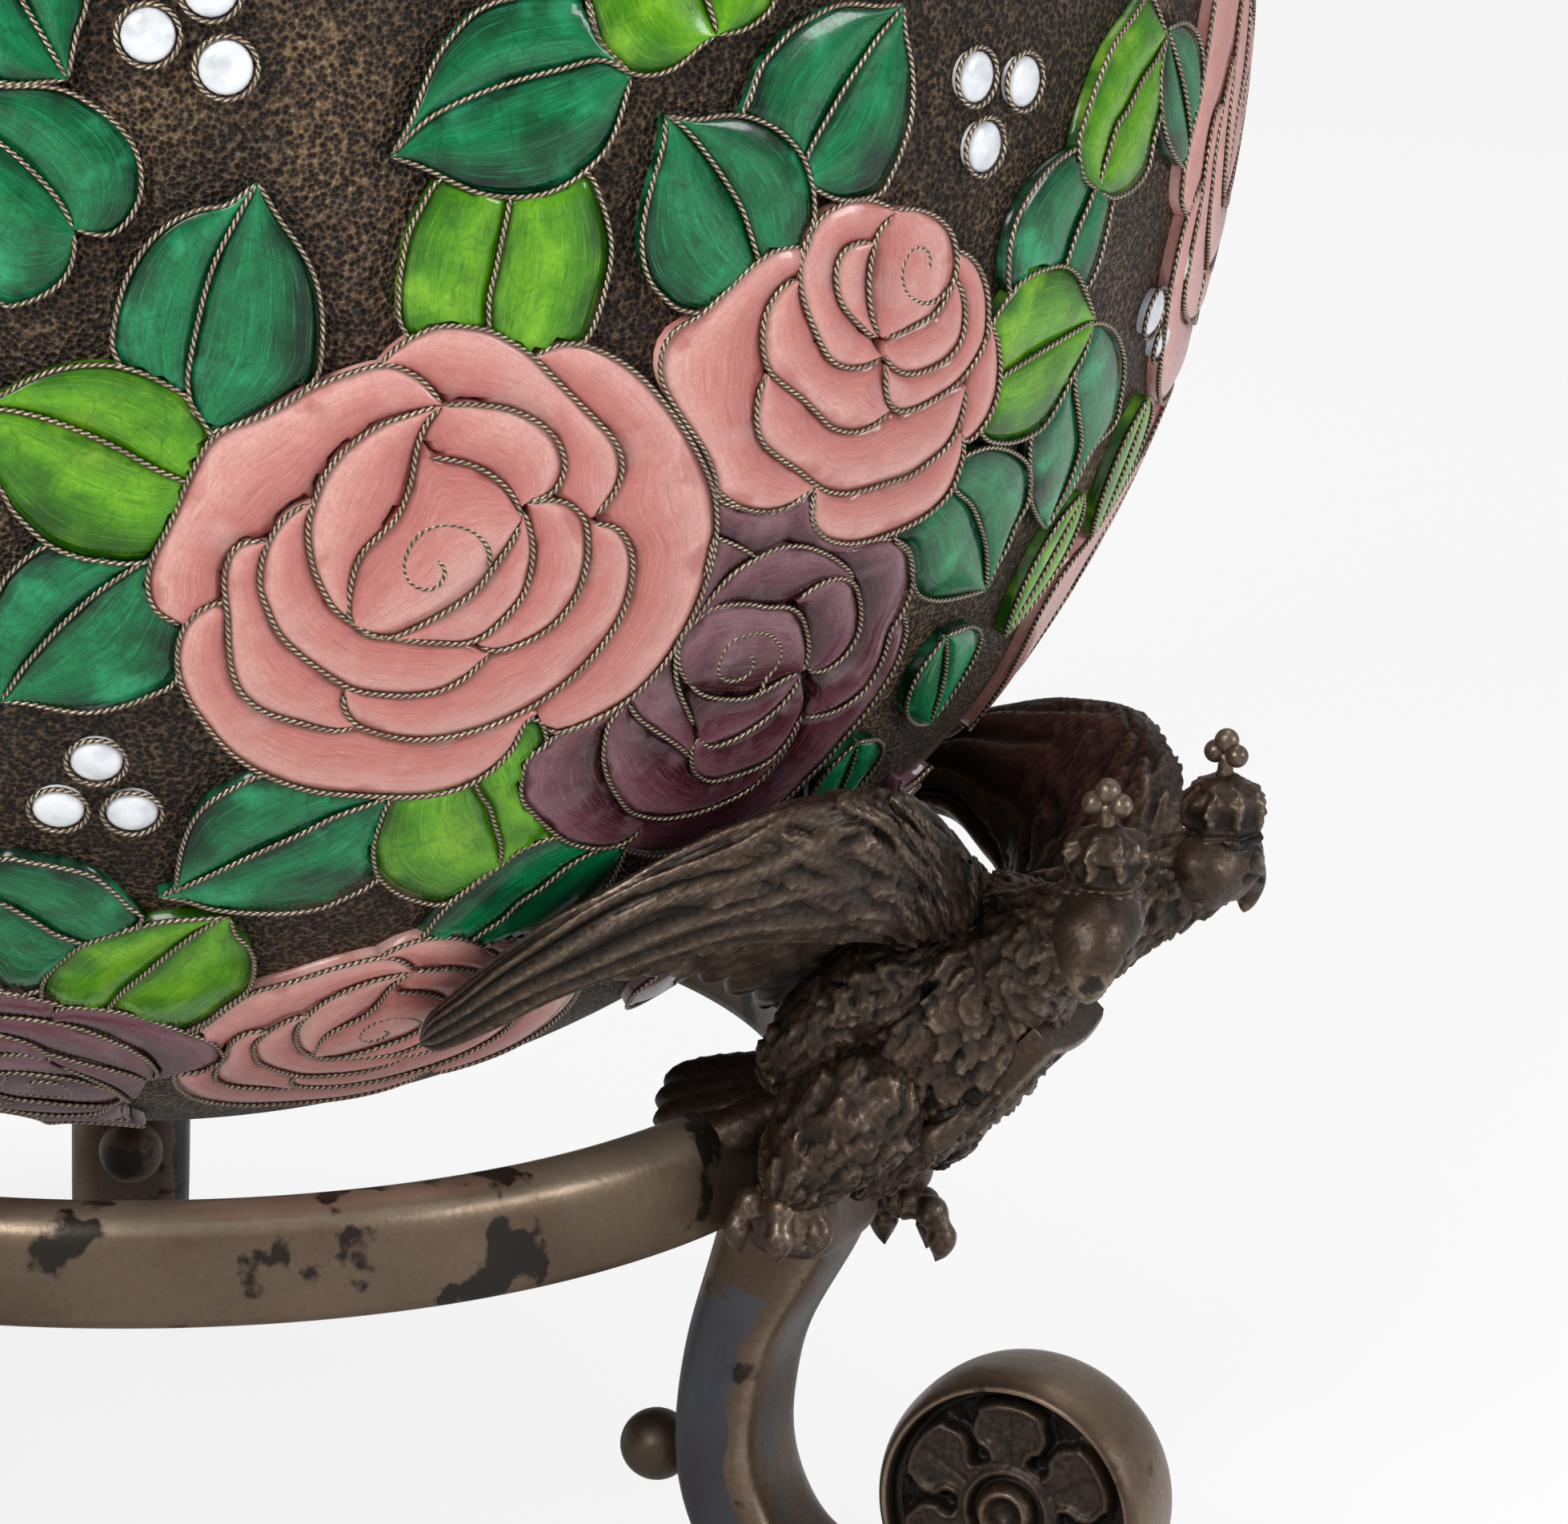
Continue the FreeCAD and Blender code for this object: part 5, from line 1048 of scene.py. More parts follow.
ringLook = {"profile": [(35.0, 25.3), (35.12, 24.9), (35.5, 24.7), (37.5, 24.7), (37.88, 24.9), (38.0, 25.3),
                        (38.0, 28.6), (37.9, 29.3), (37.6, 29.9), (37.1, 30.27), (36.5, 30.4), (35.6, 30.4),
                        (35.2, 30.28), (35.0, 29.9), (35.0, 25.3)]}
ringSet = lathe(ringLook["profile"], (0, 0, 0), (0, 0, 1), 240)
# Lighter towards the ring's top rounded edge: a painted highlight along it.
ringSet[3][:] = 0.56 + 0.3 * smoothstep((ringSet[0][:, 2] - 29.0) / 1.0) + 0.05 * ripple(ringSet[0], 9.0, 5)
makePiece("ring_band", ringSet, turnedBronze, "stand", ["ring"])

legShape = {"inner": [(35.6, 25.1), (35.0, 22.6), (33.8, 17.6), (33.3, 13.3), (33.5, 10.0), (34.5, 7.0), (36.4, 4.1),
                      (39.53, 1.92), (42.3, 0.6), (45.6, 0.14), (50.5, 0.12), (54.3, 1.35), (57.3, 4.9), (58.5, 7.9)],
            "outer": [(42.0, 25.1), (41.4, 22.6), (38.9, 17.7), (38.1, 14.1), (38.1, 11.2), (38.9, 8.8), (40.3, 7.0),
                      (42.6, 5.8), (44.56, 4.66), (47.3, 3.2), (50.5, 2.7), (54.0, 3.5), (56.9, 5.9), (57.6, 8.2)],
            "halfWidth": 3.5, "volute": (51.75, 0.0, 11.3), "web": 1.85, "bar": (120, 44),
            "rim": [(5.95, 1.85), (6.2, 1.95), (6.3, 2.25), (6.35, 2.6), (6.4, 2.86), (6.5, 2.98), (6.63, 2.93),
                    (6.76, 2.8), (6.9, 2.55), (7.04, 2.2), (7.18, 1.7), (7.28, 1.0), (7.32, 0.0)]}


def legStrip():
    # Rounded bar between the leg's inner and outer side lines, both read at the same share of the way.
    count, around = legShape["bar"]
    lines = flowLine(np.hstack([legShape["inner"], legShape["outer"]]), count)
    inner, outer = (np.insert(lines[:, k:k + 2], 1, 0.0, axis=1) for k in (0, 2))
    middle, half = (inner + outer) / 2, (outer - inner) / 2
    share, angle = np.linspace(0, 1, count), fullTurn(around)
    x, y = squared(np.cos(angle), 0.5), squared(np.sin(angle), 0.5)
    wide = legShape["halfWidth"] - 0.65 * smoothstep((share - 0.7) / 0.25)
    grid = middle[:, None] + half[:, None] * x[None, :, None] + np.array([0, 1, 0]) * (wide[:, None] * y)[..., None]
    for end in (0, -1):
        grid[end] = grid[end] * 0.02 + middle[end] * 0.98
    wearAndShading = 0.50 + 0.26 * np.abs(np.sin(2 * angle))[None] ** 3 + 0.06 * ripple(grid, 6.0, 8)
    return asSet(grid, mapped(10 + share[:, None], angle[None] / (2 * math.pi)), wearAndShading)


def softBox(low, high, power=0.28):
    # Box with soft edges: a superellipsoid between two corners.
    low, high = np.asarray(low, float), np.asarray(high, float)
    tip, angle = np.linspace(-math.pi / 2, math.pi / 2, 25)[:, None], fullTurn(40)[None]
    level = squared(np.cos(tip), power)
    shape = np.stack(np.broadcast_arrays(level * squared(np.cos(angle), power), level * squared(np.sin(angle), power),
                                         squared(np.sin(tip), power)), -1)
    grid = (low + high) / 2 + shape * (high - low) / 2
    return asSet(grid, 0.0, 0.5 + 0.05 * ripple(grid, 5.0, 4))


def voluteSet():
    # Rolled end: a web recessed on both faces, inside a thick rounded rim with a crisp inner lip.
    rim = flowLine(legShape["rim"], 34)
    side = np.vstack([[(0.0, legShape["web"])], rim])
    profile = np.vstack([side, side[:-1][::-1] * np.array([1, -1])])
    part = lathe(profile, legShape["volute"], (0, 1, 0), 128)
    points, wearAndShading = part[0], part[3]
    radius = np.hypot(points[:, 0] - legShape["volute"][0], points[:, 2] - legShape["volute"][2])
    # Painted light and shade: the recessed web inside radius 6.3 is painted darker as shade in the recess, the inner
    # lip gets a painted bright line and the outer rim a painted highlight band.
    lip = peak(radius, 6.5, 0.12) * (np.abs(points[:, 1]) > 2.6)
    rimHighlight = smoothstep((radius - 6.6) / 0.5) * 0.3
    wearAndShading[:] = np.where(radius < 6.3, 0.16, 0.40) + 0.4 * lip + rimHighlight + 0.05 * ripple(points, 5.0, 6)
    return part


def rosette(side):
    # Six-petal flower as a height over a polar grid: keyhole slots between the petals, a raised outline
    # and a vein on each, and a ringed boss with a hollow in the middle.
    radius = np.concatenate([np.linspace(0, 5.95, 50), [6.0]])[:, None]
    turn = fullTurn(180)[None]
    apart = math.pi / 3
    local = turn / apart % 1 * apart - apart / 2
    slot = radius * np.sin(apart / 2 - np.abs(local))
    key = np.hypot(radius * np.cos(apart / 2 - np.abs(local)) - 3.15, slot)
    gap = np.minimum(slot - 0.16 - 0.8 * smoothstep((radius - 4.0) / 1.5) ** 2, key - 0.48)
    gap = np.where(radius < 2.7, 1.0, gap)
    lobe = 5.85 - 0.95 * np.abs(local / (apart / 2)) ** 3 - radius
    inside = np.minimum(gap, lobe)
    height = 0.82 * smoothstep(inside / 0.34 + 0.5)
    height += 0.16 * peak(inside, 0.30, 0.11) - 0.14 * smoothstep((inside - 0.35) / 0.3)
    vein = peak(radius * np.sin(local), 0, 0.10) * smoothstep((radius - 2.3) / 0.4) * (radius < 5.3)
    height -= 0.13 * vein
    boss = 0.30 * peak(radius, 2.15, 0.22) + 0.72 * peak(radius, 1.15, 0.34)
    dip = -0.45 * peak(radius, 1.72, 0.2) - 0.2 * peak(radius, 0, 0.55)
    height = height + boss + dip + 0 * turn
    height[-1] = -0.15
    x, y, z = legShape["volute"]
    grid = np.stack([x + radius * np.cos(turn), side * (legShape["web"] + height), z + radius * np.sin(turn)], -1)
    # Wear and shading follow the height: slots and hollows darker, partly patina and partly painted shade.
    wearAndShading = np.clip(0.06 + 0.46 * height, 0, 0.9)
    return asSet(grid, mapped(radius / 6, turn / 6), wearAndShading, True, np.array([x, y, z]))


def budSet():
    # Bud: a ball on a short stem that runs out to the leg.
    angle = np.linspace(0, math.pi, 26)
    knob = np.stack([1.88 * np.sin(angle), -1.9 * np.cos(angle)], -1)
    stem = [(0.95, 1.75), (0.8, 2.3), (0.85, 3.4), (0.0, 3.6)]
    return lathe(np.vstack([knob[:-4], stem]), (31.3, 0, 10.2), (1, 0, 0), 40, 0.45)


# the bar and the volute, then the flare under the ring and the block that holds the bar to it
legParts = [legStrip(), voluteSet(), softBox((37.3, -4.4, 22.7), (42.0, 4.4, 26.4), 0.55),
            softBox((38.02, -3.0, 24.2), (42.0, 3.0, 29.5))]
onEachLeg("_leg_bar", gathered(legParts), legBronze, ["_leg"])
onEachLeg("_leg_flowers", gathered([rosette(-1), rosette(1)]), bronze, ["_leg_rosettes"])
onEachLeg("_leg_bud", budSet(), turnedBronze, ["_leg_bead"])
print("ring and legs made")

# Eagle: one casting of trunk, necks, heads, crowns, thighs, feet and tail, then two wings and a shield.
bird = {
    "trunk": [(41.0, 0, 25.6, 0.1, 0.1), (41.5, 0, 26.8, 2.6, 2.0), (43.0, 0, 29.6, 3.5, 3.3),
              (45.4, 0, 34.0, 5.3, 5.1), (48.2, 0, 38.0, 5.6, 5.0), (50.8, 0, 41.0, 4.3, 3.2),
              (52.4, 0, 42.9, 0.1, 0.1)],
    "flank": [(48.0, 4.0, 41.2, 0.2, 0.2), (45.6, 5.0, 39.4, 2.4, 2.0), (43.0, 5.2, 37.2, 2.6, 2.1),
              (41.0, 4.8, 34.8, 2.4, 2.0), (39.6, 4.2, 32.8, 1.6, 1.5), (39.0, 3.9, 31.8, 0.1, 0.1)],
    "neck": [(49.0, 1.4, 37.8, 0.3, 0.3), (50.6, 2.0, 39.6, 3.1, 3.2), (53.0, 3.3, 41.7, 2.7, 2.8),
             (55.2, 4.3, 43.2, 2.2, 2.3), (56.9, 4.9, 44.3, 1.8, 1.8), (57.6, 5.1, 44.8, 0.1, 0.1)],
    "shin": [(41.4, 5.7, 28.6, 0.1, 0.1), (41.0, 5.7, 27.4, 1.2, 1.2), (41.2, 5.6, 25.2, 1.0, 1.0),
             (41.4, 5.5, 24.2, 0.1, 0.1)],
    "thigh": [(46.4, 2.8, 35.4, 0.2, 0.2), (44.7, 4.1, 33.1, 3.1, 3.2), (42.7, 5.2, 30.6, 3.1, 3.0),
              (41.2, 5.7, 28.3, 2.2, 2.2), (40.5, 5.8, 26.9, 1.3, 1.3), (40.3, 5.8, 26.2, 0.1, 0.1)],
    "heads": {-1: {"place": (56.1, -5.0, 43.3), "gaze": -80.0, "bill": 1.1},
              1: {"place": (58.0, 6.5, 43.5), "gaze": 72.0, "bill": 0.9}},
    "skull": [(-3.0, -1.0, 0.1), (-2.4, -0.5, 1.6), (-1.2, 0.05, 1.95), (0.2, 0.2, 1.95), (1.3, 0.05, 1.6),
              (2.0, -0.2, 1.0), (2.3, -0.3, 0.1)],
    "beak": [(-0.4, 0.1, 0.1, 0.1), (0.4, 0.1, 1.5, 1.5), (1.3, -0.05, 1.62, 1.5), (2.05, -0.5, 1.42, 1.3),
             (2.45, -1.3, 1.08, 1.0), (2.5, -2.05, 0.7, 0.66), (2.35, -2.55, 0.32, 0.3), (2.3, -2.75, 0.03, 0.03)],
    "crown": [(0.0, 0.05), (0.01, 0.80), (0.07, 0.92), (0.15, 0.93), (0.20, 0.84), (0.29, 0.93), (0.48, 1.0),
              (0.68, 0.94), (0.84, 0.70), (0.95, 0.38), (1.0, 0.05)],
    # counts along and round, then length, width, depth and curl of the feathers
    "cover": {"trunk": (132, 132, 2.1, 1.45, 1.05, 0.6), "neck": (84, 72, 1.8, 1.3, 0.75, 0.6),
              "thigh": (80, 76, 2.1, 1.4, 0.8, 0.5), "flank": (72, 66, 2.1, 1.3, 0.8, 0.7),
              "arm": (60, 70, 1.8, 1.5, 0.6, 0.5)},
    "stem": [(0.0, -0.4), (0.55, -0.3), (0.4, 0.1), (0.36, 0.6), (0.42, 0.9), (0.0, 1.1)],
    "crownSize": 1.98, "crownHeight": 3.7, "crownSeat": 1.2,
    "toe": [(-0.3, 0.5, 0.1), (0.2, 0.5, 0.85), (0.9, 0.35, 0.66), (1.5, 0.2, 0.92), (1.95, -0.45, 0.62),
            (2.15, -1.1, 0.78), (2.1, -1.8, 0.5), (1.9, -2.4, 0.03)],
    "tail": [(44.8, 0.3, 33.4, 0.1, 0.1), (43.0, 0.55, 33.1, 1.3, 1.2), (38.8, 0.95, 32.3, 1.4, 1.2),
             (34.8, 1.3, 31.5, 1.35, 1.15), (32.4, 1.45, 30.9, 1.1, 0.95), (31.4, 1.5, 30.6, 0.6, 0.5),
             (31.1, 1.5, 30.5, 0.05, 0.05)],
}


def inHead(side, forward, aside, up):
    # A place given forward, to the left and up from a head's middle.
    head = bird["heads"][side]
    c, s = cosSin(head["gaze"])
    ahead, left = np.array([c, s, 0]), np.array([-s, c, 0])
    forward, aside, up = (np.asarray(value, float)[..., None] for value in (forward, aside, up))
    return np.asarray(head["place"]) + ahead * forward + left * aside + np.array([0, 0, 1.0]) * up


def headWay(side, forward, aside):
    return inHead(side, forward, aside, 0) - inHead(side, 0, 0, 0)


def ball(centre, radius):
    tip = np.linspace(-math.pi / 2, math.pi / 2, 14)
    return lathe(np.stack([radius * np.cos(tip), radius * np.sin(tip)], -1), centre, (0, 0, 1), 18, 0.74)


def face(side):
    # Relief of a skull: a brow over each eye, the eye in its socket and the slit of the mouth.
    def relief(along, rounds, grid, angle):
        rise = 0.05 * ripple(grid, 1.8, 12)
        for eye in (-1, 1):
            spot = inHead(side, 0.95, 1.62 * eye, 0.55)
            away = np.linalg.norm(grid - spot, axis=-1)
            rise += 0.30 * peak(away, 0, 0.42) - 0.28 * peak(away, 0.78, 0.2)
            brow = inHead(side, 0.7, 1.5 * eye, 1.35)
            rise += 0.42 * peak(np.linalg.norm((grid - brow) * np.array([0.7, 0.7, 1.9]), axis=-1), 0, 0.9)
        start = inHead(side, -0.8, 0.0, -0.65)
        level = grid[..., 2] - start[2] - 0.28 * np.linalg.norm(grid[..., :2] - start[:2], axis=-1)
        ahead = (grid - start) @ headWay(side, 1, 0)
        rise -= 0.42 * peak(level, 0, 0.17) * smoothstep(ahead / 0.6)
        # Wear and shading follow the relief: sockets and mouth darker, partly patina and partly painted shade; brows
        # and eyes lighter.
        return rise, np.clip(0.52 + rise * 1.1, 0, 1)
    return relief


def bill(side):
    # Relief of a beak: plain, with the slit of the mouth cut into its sides.
    def relief(along, rounds, grid, angle):
        middle = inHead(side, 1.0, 0.0, -0.55)
        ahead = (grid - middle) @ headWay(side, 1, 0)
        level = grid[..., 2] - middle[2] + 0.10 * ahead + 0.12 * ahead ** 2 * (ahead > 0)
        slit = peak(level, 0, 0.16) * smoothstep((1.6 - ahead) / 0.5)
        rise = 0.04 * ripple(grid, 2.0, 14) - 0.38 * slit
        # Wear and shading: the mouth slit darker, partly patina and partly painted shade, and lighter towards the
        # hooked tip.
        return rise, np.clip(0.50 + rise * 1.3 + 0.34 * smoothstep((along - 3.6) / 1.2), 0, 1)
    return relief


def headSet(side):
    skull = np.array(bird["skull"])
    centre = inHead(side, skull[:, 0], 0 * skull[:, 0], skull[:, 1])
    rows = np.hstack([centre, skull[:, 2:3] * 0.94, skull[:, 2:3]])
    hint = headWay(side, 0, 1)
    beak = np.array(bird["beak"]) * np.array([1.0, 1.1, 1.0, 1.0]) * bird["heads"][side]["bill"]
    beakRows = np.hstack([inHead(side, beak[:, 0], 0 * beak[:, 0], beak[:, 1]), beak[:, 2:4] * (1.06 - 0.1 * side)])
    return [limb(rows, hint, 56, 60, face(side)), limb(beakRows, hint, 60, 48, bill(side))]


def crownSet(side):
    # Bulbous crown: eight ribs strung with beads over a beaded band, then a stem and a trefoil of balls.
    rows = flowLine(bird["crown"], 60)
    turn = fullTurn(96)[None]
    up, size = rows[:, :1], rows[:, 1:2]
    rib = np.maximum(np.cos(8 * turn), 0) ** 1.5
    string = 0.5 + 0.5 * np.cos(2 * math.pi * up / 0.13)
    onDome = smoothstep((up - 0.28) / 0.08) * smoothstep((0.97 - up) / 0.1)
    band = peak(up, 0.145, 0.05)
    rise = 0.13 * rib * (0.55 + 0.45 * string) * onDome + 0.08 * band * (0.5 + 0.5 * np.cos(16 * turn))
    rise -= 0.10 * (1 - rib) * onDome * smoothstep((0.7 - up) / 0.3)
    radius = (size + rise) * bird["crownSize"]
    flat = np.stack([radius * np.cos(turn), radius * np.sin(turn), bird["crownHeight"] * up + 0 * turn], -1)
    base = inHead(side, -0.1, 0.0, bird["crownSeat"])
    uneven = 0.16 * ripple(flat, 1.3, 20 + side)[..., None] * np.array([1, 1, 0.5])
    # Wear and shading follow the ribs: darker between them, partly patina and partly painted shade.
    wearAndShading = np.clip(0.46 + 2.6 * rise + 0 * turn, 0, 1)
    dome = asSet(flat + uneven + base, mapped(up, turn / 6), wearAndShading)
    top = base + np.array([0, 0, bird["crownHeight"]])
    stem = lathe(bird["stem"], top, (0, 0, 1), 20, 0.7)
    left = headWay(side, 0, 1)
    balls = [ball(top + left * aside + (0, 0, rise), radius)
             for aside, rise, radius in ((0.66, 0.95, 0.58), (-0.66, 0.95, 0.58), (0.0, 1.6, 0.62))]
    return [dome, stem] + balls


def footSet(side):
    # Three knuckled toes hooked over the perch, each ending in a claw.
    ankle = np.array([40.1, 5.4 * side, 26.4]) if side < 0 else np.array([42.0, 5.9, 22.9])
    toes = []
    for angle in (5.0, 68.0, 138.0):
        way = np.array([1, side, 0]) * (*cosSin(angle), 0)
        rows = [(*(ankle + way * reach + np.array([0, 0, drop])), size, size) for reach, drop, size in bird["toe"]]
        toes.append(limb(rows, (-way[1], way[0], 0), 40, 22, smoothHide))
    return toes


def tailSet():
    # Fan of seven long feathers laid inward over the ring, each grooved along its quill.
    def quill(along, rounds, grid, angle):
        aside = angle[None] - math.pi / 2
        rise = -0.16 * peak(aside, 0, 0.16) + 0.05 * np.sin(along * 2 * math.pi / 0.55 + np.abs(aside) * 5)
        # Wear and shading follow the relief: the quill groove darker, partly patina and partly painted shade.
        return rise + 0 * along, np.clip(0.5 + 1.8 * rise + 0 * along, 0, 1)

    feathers = []
    for index in range(-3, 4):
        lean, low, short = index * 1.3, 0.34 * abs(index) + 0.8, 0.45 * abs(index) ** 1.5
        rows = [(x + short * (x < 36), lean * spread, z - low, *sizes) for x, spread, z, *sizes in bird["tail"]]
        feathers.append(limb(rows, (0, 1, 0), 44, 30, quill))
    return feathers


def mirroredRows(rows, side):
    return [(row[0], row[1] * side, row[2], row[3], row[4]) for row in rows]


def feathered(name, rows, hint, seed):
    along, around, length, width, depth, curl = bird["cover"][name]
    return limb(rows, hint, along, around, plumage(length, width, depth, seed, curl))


def castingSet():
    parts = [feathered("trunk", bird["trunk"], (0, 1, 0), 41)]
    for side in (-1, 1):
        # each neck ends at its own head
        head = np.asarray(bird["heads"][side]["place"])
        rows = mirroredRows(bird["neck"], side)
        end = np.array(rows[-2][:3])
        rows = [tuple(np.array(row[:3]) + (head - end) * (index / 4) ** 1.4 * 0.85) + row[3:]
                for index, row in enumerate(rows)]
        parts.append(feathered("neck", rows, (0, 1, 0), 50 + side))
        # the far leg stands a little outward, aside and lower
        aside = np.array([1.7, 1.5, -1.2, 0, 0]) * (side > 0)
        thigh = [tuple(np.array(row) + aside * min(index, 3) / 3) for index, row in
                 enumerate(mirroredRows(bird["thigh"], side))]
        parts.append(feathered("thigh", thigh, (1, 0, 0), 60 + side))
        parts.append(feathered("flank", mirroredRows(bird["flank"], side), (0, 1, 0), 64 + side))
        shin = [tuple(np.array(row) + aside * 0.6) for row in mirroredRows(bird["shin"], side)]
        parts.append(limb(shin, (1, 0, 0), 30, 30, smoothHide))
        parts += headSet(side) + crownSet(side) + footSet(side)
    return gathered(parts + tailSet())


# Wing: edges traced on the photograph from the tip to the wrist, the height of the wing's middle above the
# egg and its half thickness there. The far wing hangs lower and wider. Then the secondaries that hang
# below the near wing, as pixel across and length, the counts of points, the row the arm runs to, and the
# relief: quills side by side, the shares of the length where coverts and wrist begin, and the depth.
wing = {"lower": [(525, 1305), (545, 1308), (580, 1293), (630, 1268), (690, 1237), (760, 1208), (840, 1184),
                  (920, 1162), (1000, 1157), (1070, 1155), (1140, 1164), (1195, 1165), (1228, 1138), (1234, 1112)],
        "upper": [(524, 1297), (535, 1272), (570, 1243), (620, 1203), (680, 1163), (755, 1122), (840, 1078),
                  (920, 1043), (1000, 1012), (1075, 1001), (1140, 1006), (1190, 1045), (1224, 1090), (1233, 1110)],
        "rise": [1.9, 2.0, 2.2, 2.45, 2.7, 3.0, 3.4, 3.9, 4.5, 5.2, 6.0, 6.7, 7.1, 7.2],
        "half": [0.1, 0.45, 0.65, 0.85, 1.05, 1.3, 1.55, 1.8, 2.1, 2.4, 2.5, 2.3, 1.3, 0.1],
        "farShift": (3.5, 0.8, -1.2), "farDrop": 4.3, "farWiden": 3.0,
        "hanging": [(1110, 92), (1070, 104), (1030, 108), (990, 98), (955, 80), (920, 60), (885, 44), (850, 32),
                    (810, 24)], "rows": 170, "around": 100, "armRow": 149,
        "quills": 5.6, "coverts": 0.34, "wrist": 0.90, "depth": 1.25}


def wingSet(side):
    # Closed loft between the two edges, bulging away from the egg. Relief: a smooth rib along the lower
    # edge, long parallel quills to the tip, rows of striped coverts over them and a bare round wrist.
    lower, upper = (np.array([seenOnEgg([pixel], rise)[0] for pixel, rise in zip(wing[edge], wing["rise"])])
                    for edge in ("lower", "upper"))
    rows = flowLine(np.hstack([lower, upper, np.array(wing["half"])[:, None]]), wing["rows"])
    # the traced leg is turned to the plane that all legs are made in
    turn = turner(-legs["right"])
    lower, upper, half = rows[:, :3] @ turn, rows[:, 3:6] @ turn, rows[:, 6:]
    u = np.linspace(0, 1, wing["rows"])[:, None]
    if side > 0:
        lower = lower - np.array([0, 0, wing["farWiden"]]) * (smoothstep((u - 0.2) / 0.3)
                                                             * smoothstep((1 - u) / 0.12))
    centre, reach = (lower + upper) / 2, (lower - upper) / 2
    out = unit(np.cross(np.gradient(centre, axis=0), reach))
    out *= np.sign(np.sum(out * (centre - np.array([0, 0, 90.0])), axis=1))[:, None]
    angle = fullTurn(wing["around"])[None]
    bulge = np.where(np.sin(angle) > 0, 1.0, 0.8) * squared(np.sin(angle), 0.85)
    grid = centre[:, None] + reach[:, None] * np.cos(angle)[..., None] + out[:, None] * (half * bulge)[..., None]
    v = angle / math.pi + 0 * u
    wide = np.linalg.norm(reach, axis=1)[:, None] * 2
    length = lengthsAlong(centre)[:, None]
    # both faces carry the same pattern, counted from the lower edge
    w = np.minimum(v, 2 - v)
    wave = 0.06 * ripple(grid, 6.0, 71)
    lines = (w + wave * 0.6) * (1 - 0.3 * u) * wing["quills"]
    step = lines % 1
    quills = 0.22 + 0.58 * smoothstep(step / 0.8) * (1 - smoothstep((step - 0.88) / 0.12))
    barbs = 0.06 * np.sin((length + step * 2.0) * 2 * math.pi / 0.5 + 1.5 * ripple(grid, 1.5, 76))
    plain = quills + barbs * smoothstep(step / 0.4)
    cover, edge = tufts(length.max() - length + 0.4 * ripple(grid, 4.0, 72),
                        w * wide * 0.9 + 0.3 * ripple(grid, 4.6, 73), 3.9, 2.3, 74, 2.6)
    stripes = 0.09 * np.sin((w * wide * 1.3 + 0.35 * ripple(grid, 2.4, 75)) * 2 * math.pi / 0.5)
    coverts = cover + stripes * edge
    mix = smoothstep((u - wing["coverts"] + 0.10 * np.sin(step * 2 * math.pi)) / 0.14)
    height = plain * (1 - mix) + coverts * mix
    wrist = smoothstep((u - wing["wrist"]) / 0.07)
    height = height * (1 - wrist) + 0.60 * wrist
    rib = peak(w, 0.06, 0.07)
    line = peak(w, 0.15, 0.02) + 0.6 * peak(w, 0.20, 0.016)
    edgeward = smoothstep((w - 0.13) / 0.06)
    height = height * edgeward + 0.62 * (1 - edgeward) - 0.5 * line * smoothstep((0.92 - u) / 0.05)
    height = height + 0.3 * rib * smoothstep((0.8 - u) / 0.1)
    shallow = np.where(v > 1.0, 0.55, 1.0)
    size = smoothstep(half / 0.9) * (0.7 + 0.3 * mix) * shallow
    normal = unit(reach[:, None] * np.cos(angle)[..., None] / wide[..., None] + out[:, None] * bulge[..., None])
    grid = grid + normal * ((height - 0.55) * wing["depth"] * size)[..., None]
    # Wear and shading follow the height: grooves between quills and coverts darker, partly patina and partly painted
    # shade; the bare wrist lighter.
    wearAndShading = np.clip(0.04 + 0.82 * height + 0.14 * wrist, 0, 1)
    flip = np.array([1, -side, 1])
    if side > 0:
        fade = (u ** 1.6)[..., None]
        drop = wing["farDrop"] * smoothstep(u / 0.6)
        grid = grid * flip + np.asarray(wing["farShift"]) * fade - drop[..., None] * np.array([0, 0, 1])
    parts = [asSet(grid, mapped(u * 4, v), wearAndShading)]
    end = grid[wing["armRow"]].mean(0)
    shoulder = np.array([47.4, 2.6 * side, 38.6])
    arm = [(*(shoulder + (end - shoulder) * share), *sizes) for share, *sizes in
           ((-0.25, 0.2, 0.2), (0.0, 2.6, 3.0), (0.5, 2.5, 3.0), (0.85, 1.9, 2.4), (1.05, 0.1, 0.1))]
    parts.append(feathered("arm", arm, (0, 0, 1), 80 + side))
    edge = np.array(wing["lower"][:12])
    for pixel, drop in wing["hanging"] if side < 0 else []:
        # secondaries that hang below the lower edge, each from behind the rib to a rounded tip
        where, rise = (np.interp(pixel, edge[:, 0], values) for values in (edge[:, 1], wing["rise"][:12]))
        rows = []
        for k, size in zip((0.0, 0.3, 0.7, 0.93, 1.0), (0.5, 1.2, 1.3, 0.9, 0.05)):
            row = seenOnEgg([(pixel - 26 * k, where - 14 + (drop + 14) * k)], rise - 0.5 - 0.4 * k)[0]
            rows.append((*((row @ turn) * flip), size, 0.4 * size))
        beside = seenOnEgg([(pixel - 20, where), (pixel + 20, where)], rise) @ turn
        parts.append(limb(rows, (beside[1] - beside[0]) * flip, 34, 22, smoothHide))
    return gathered(parts)


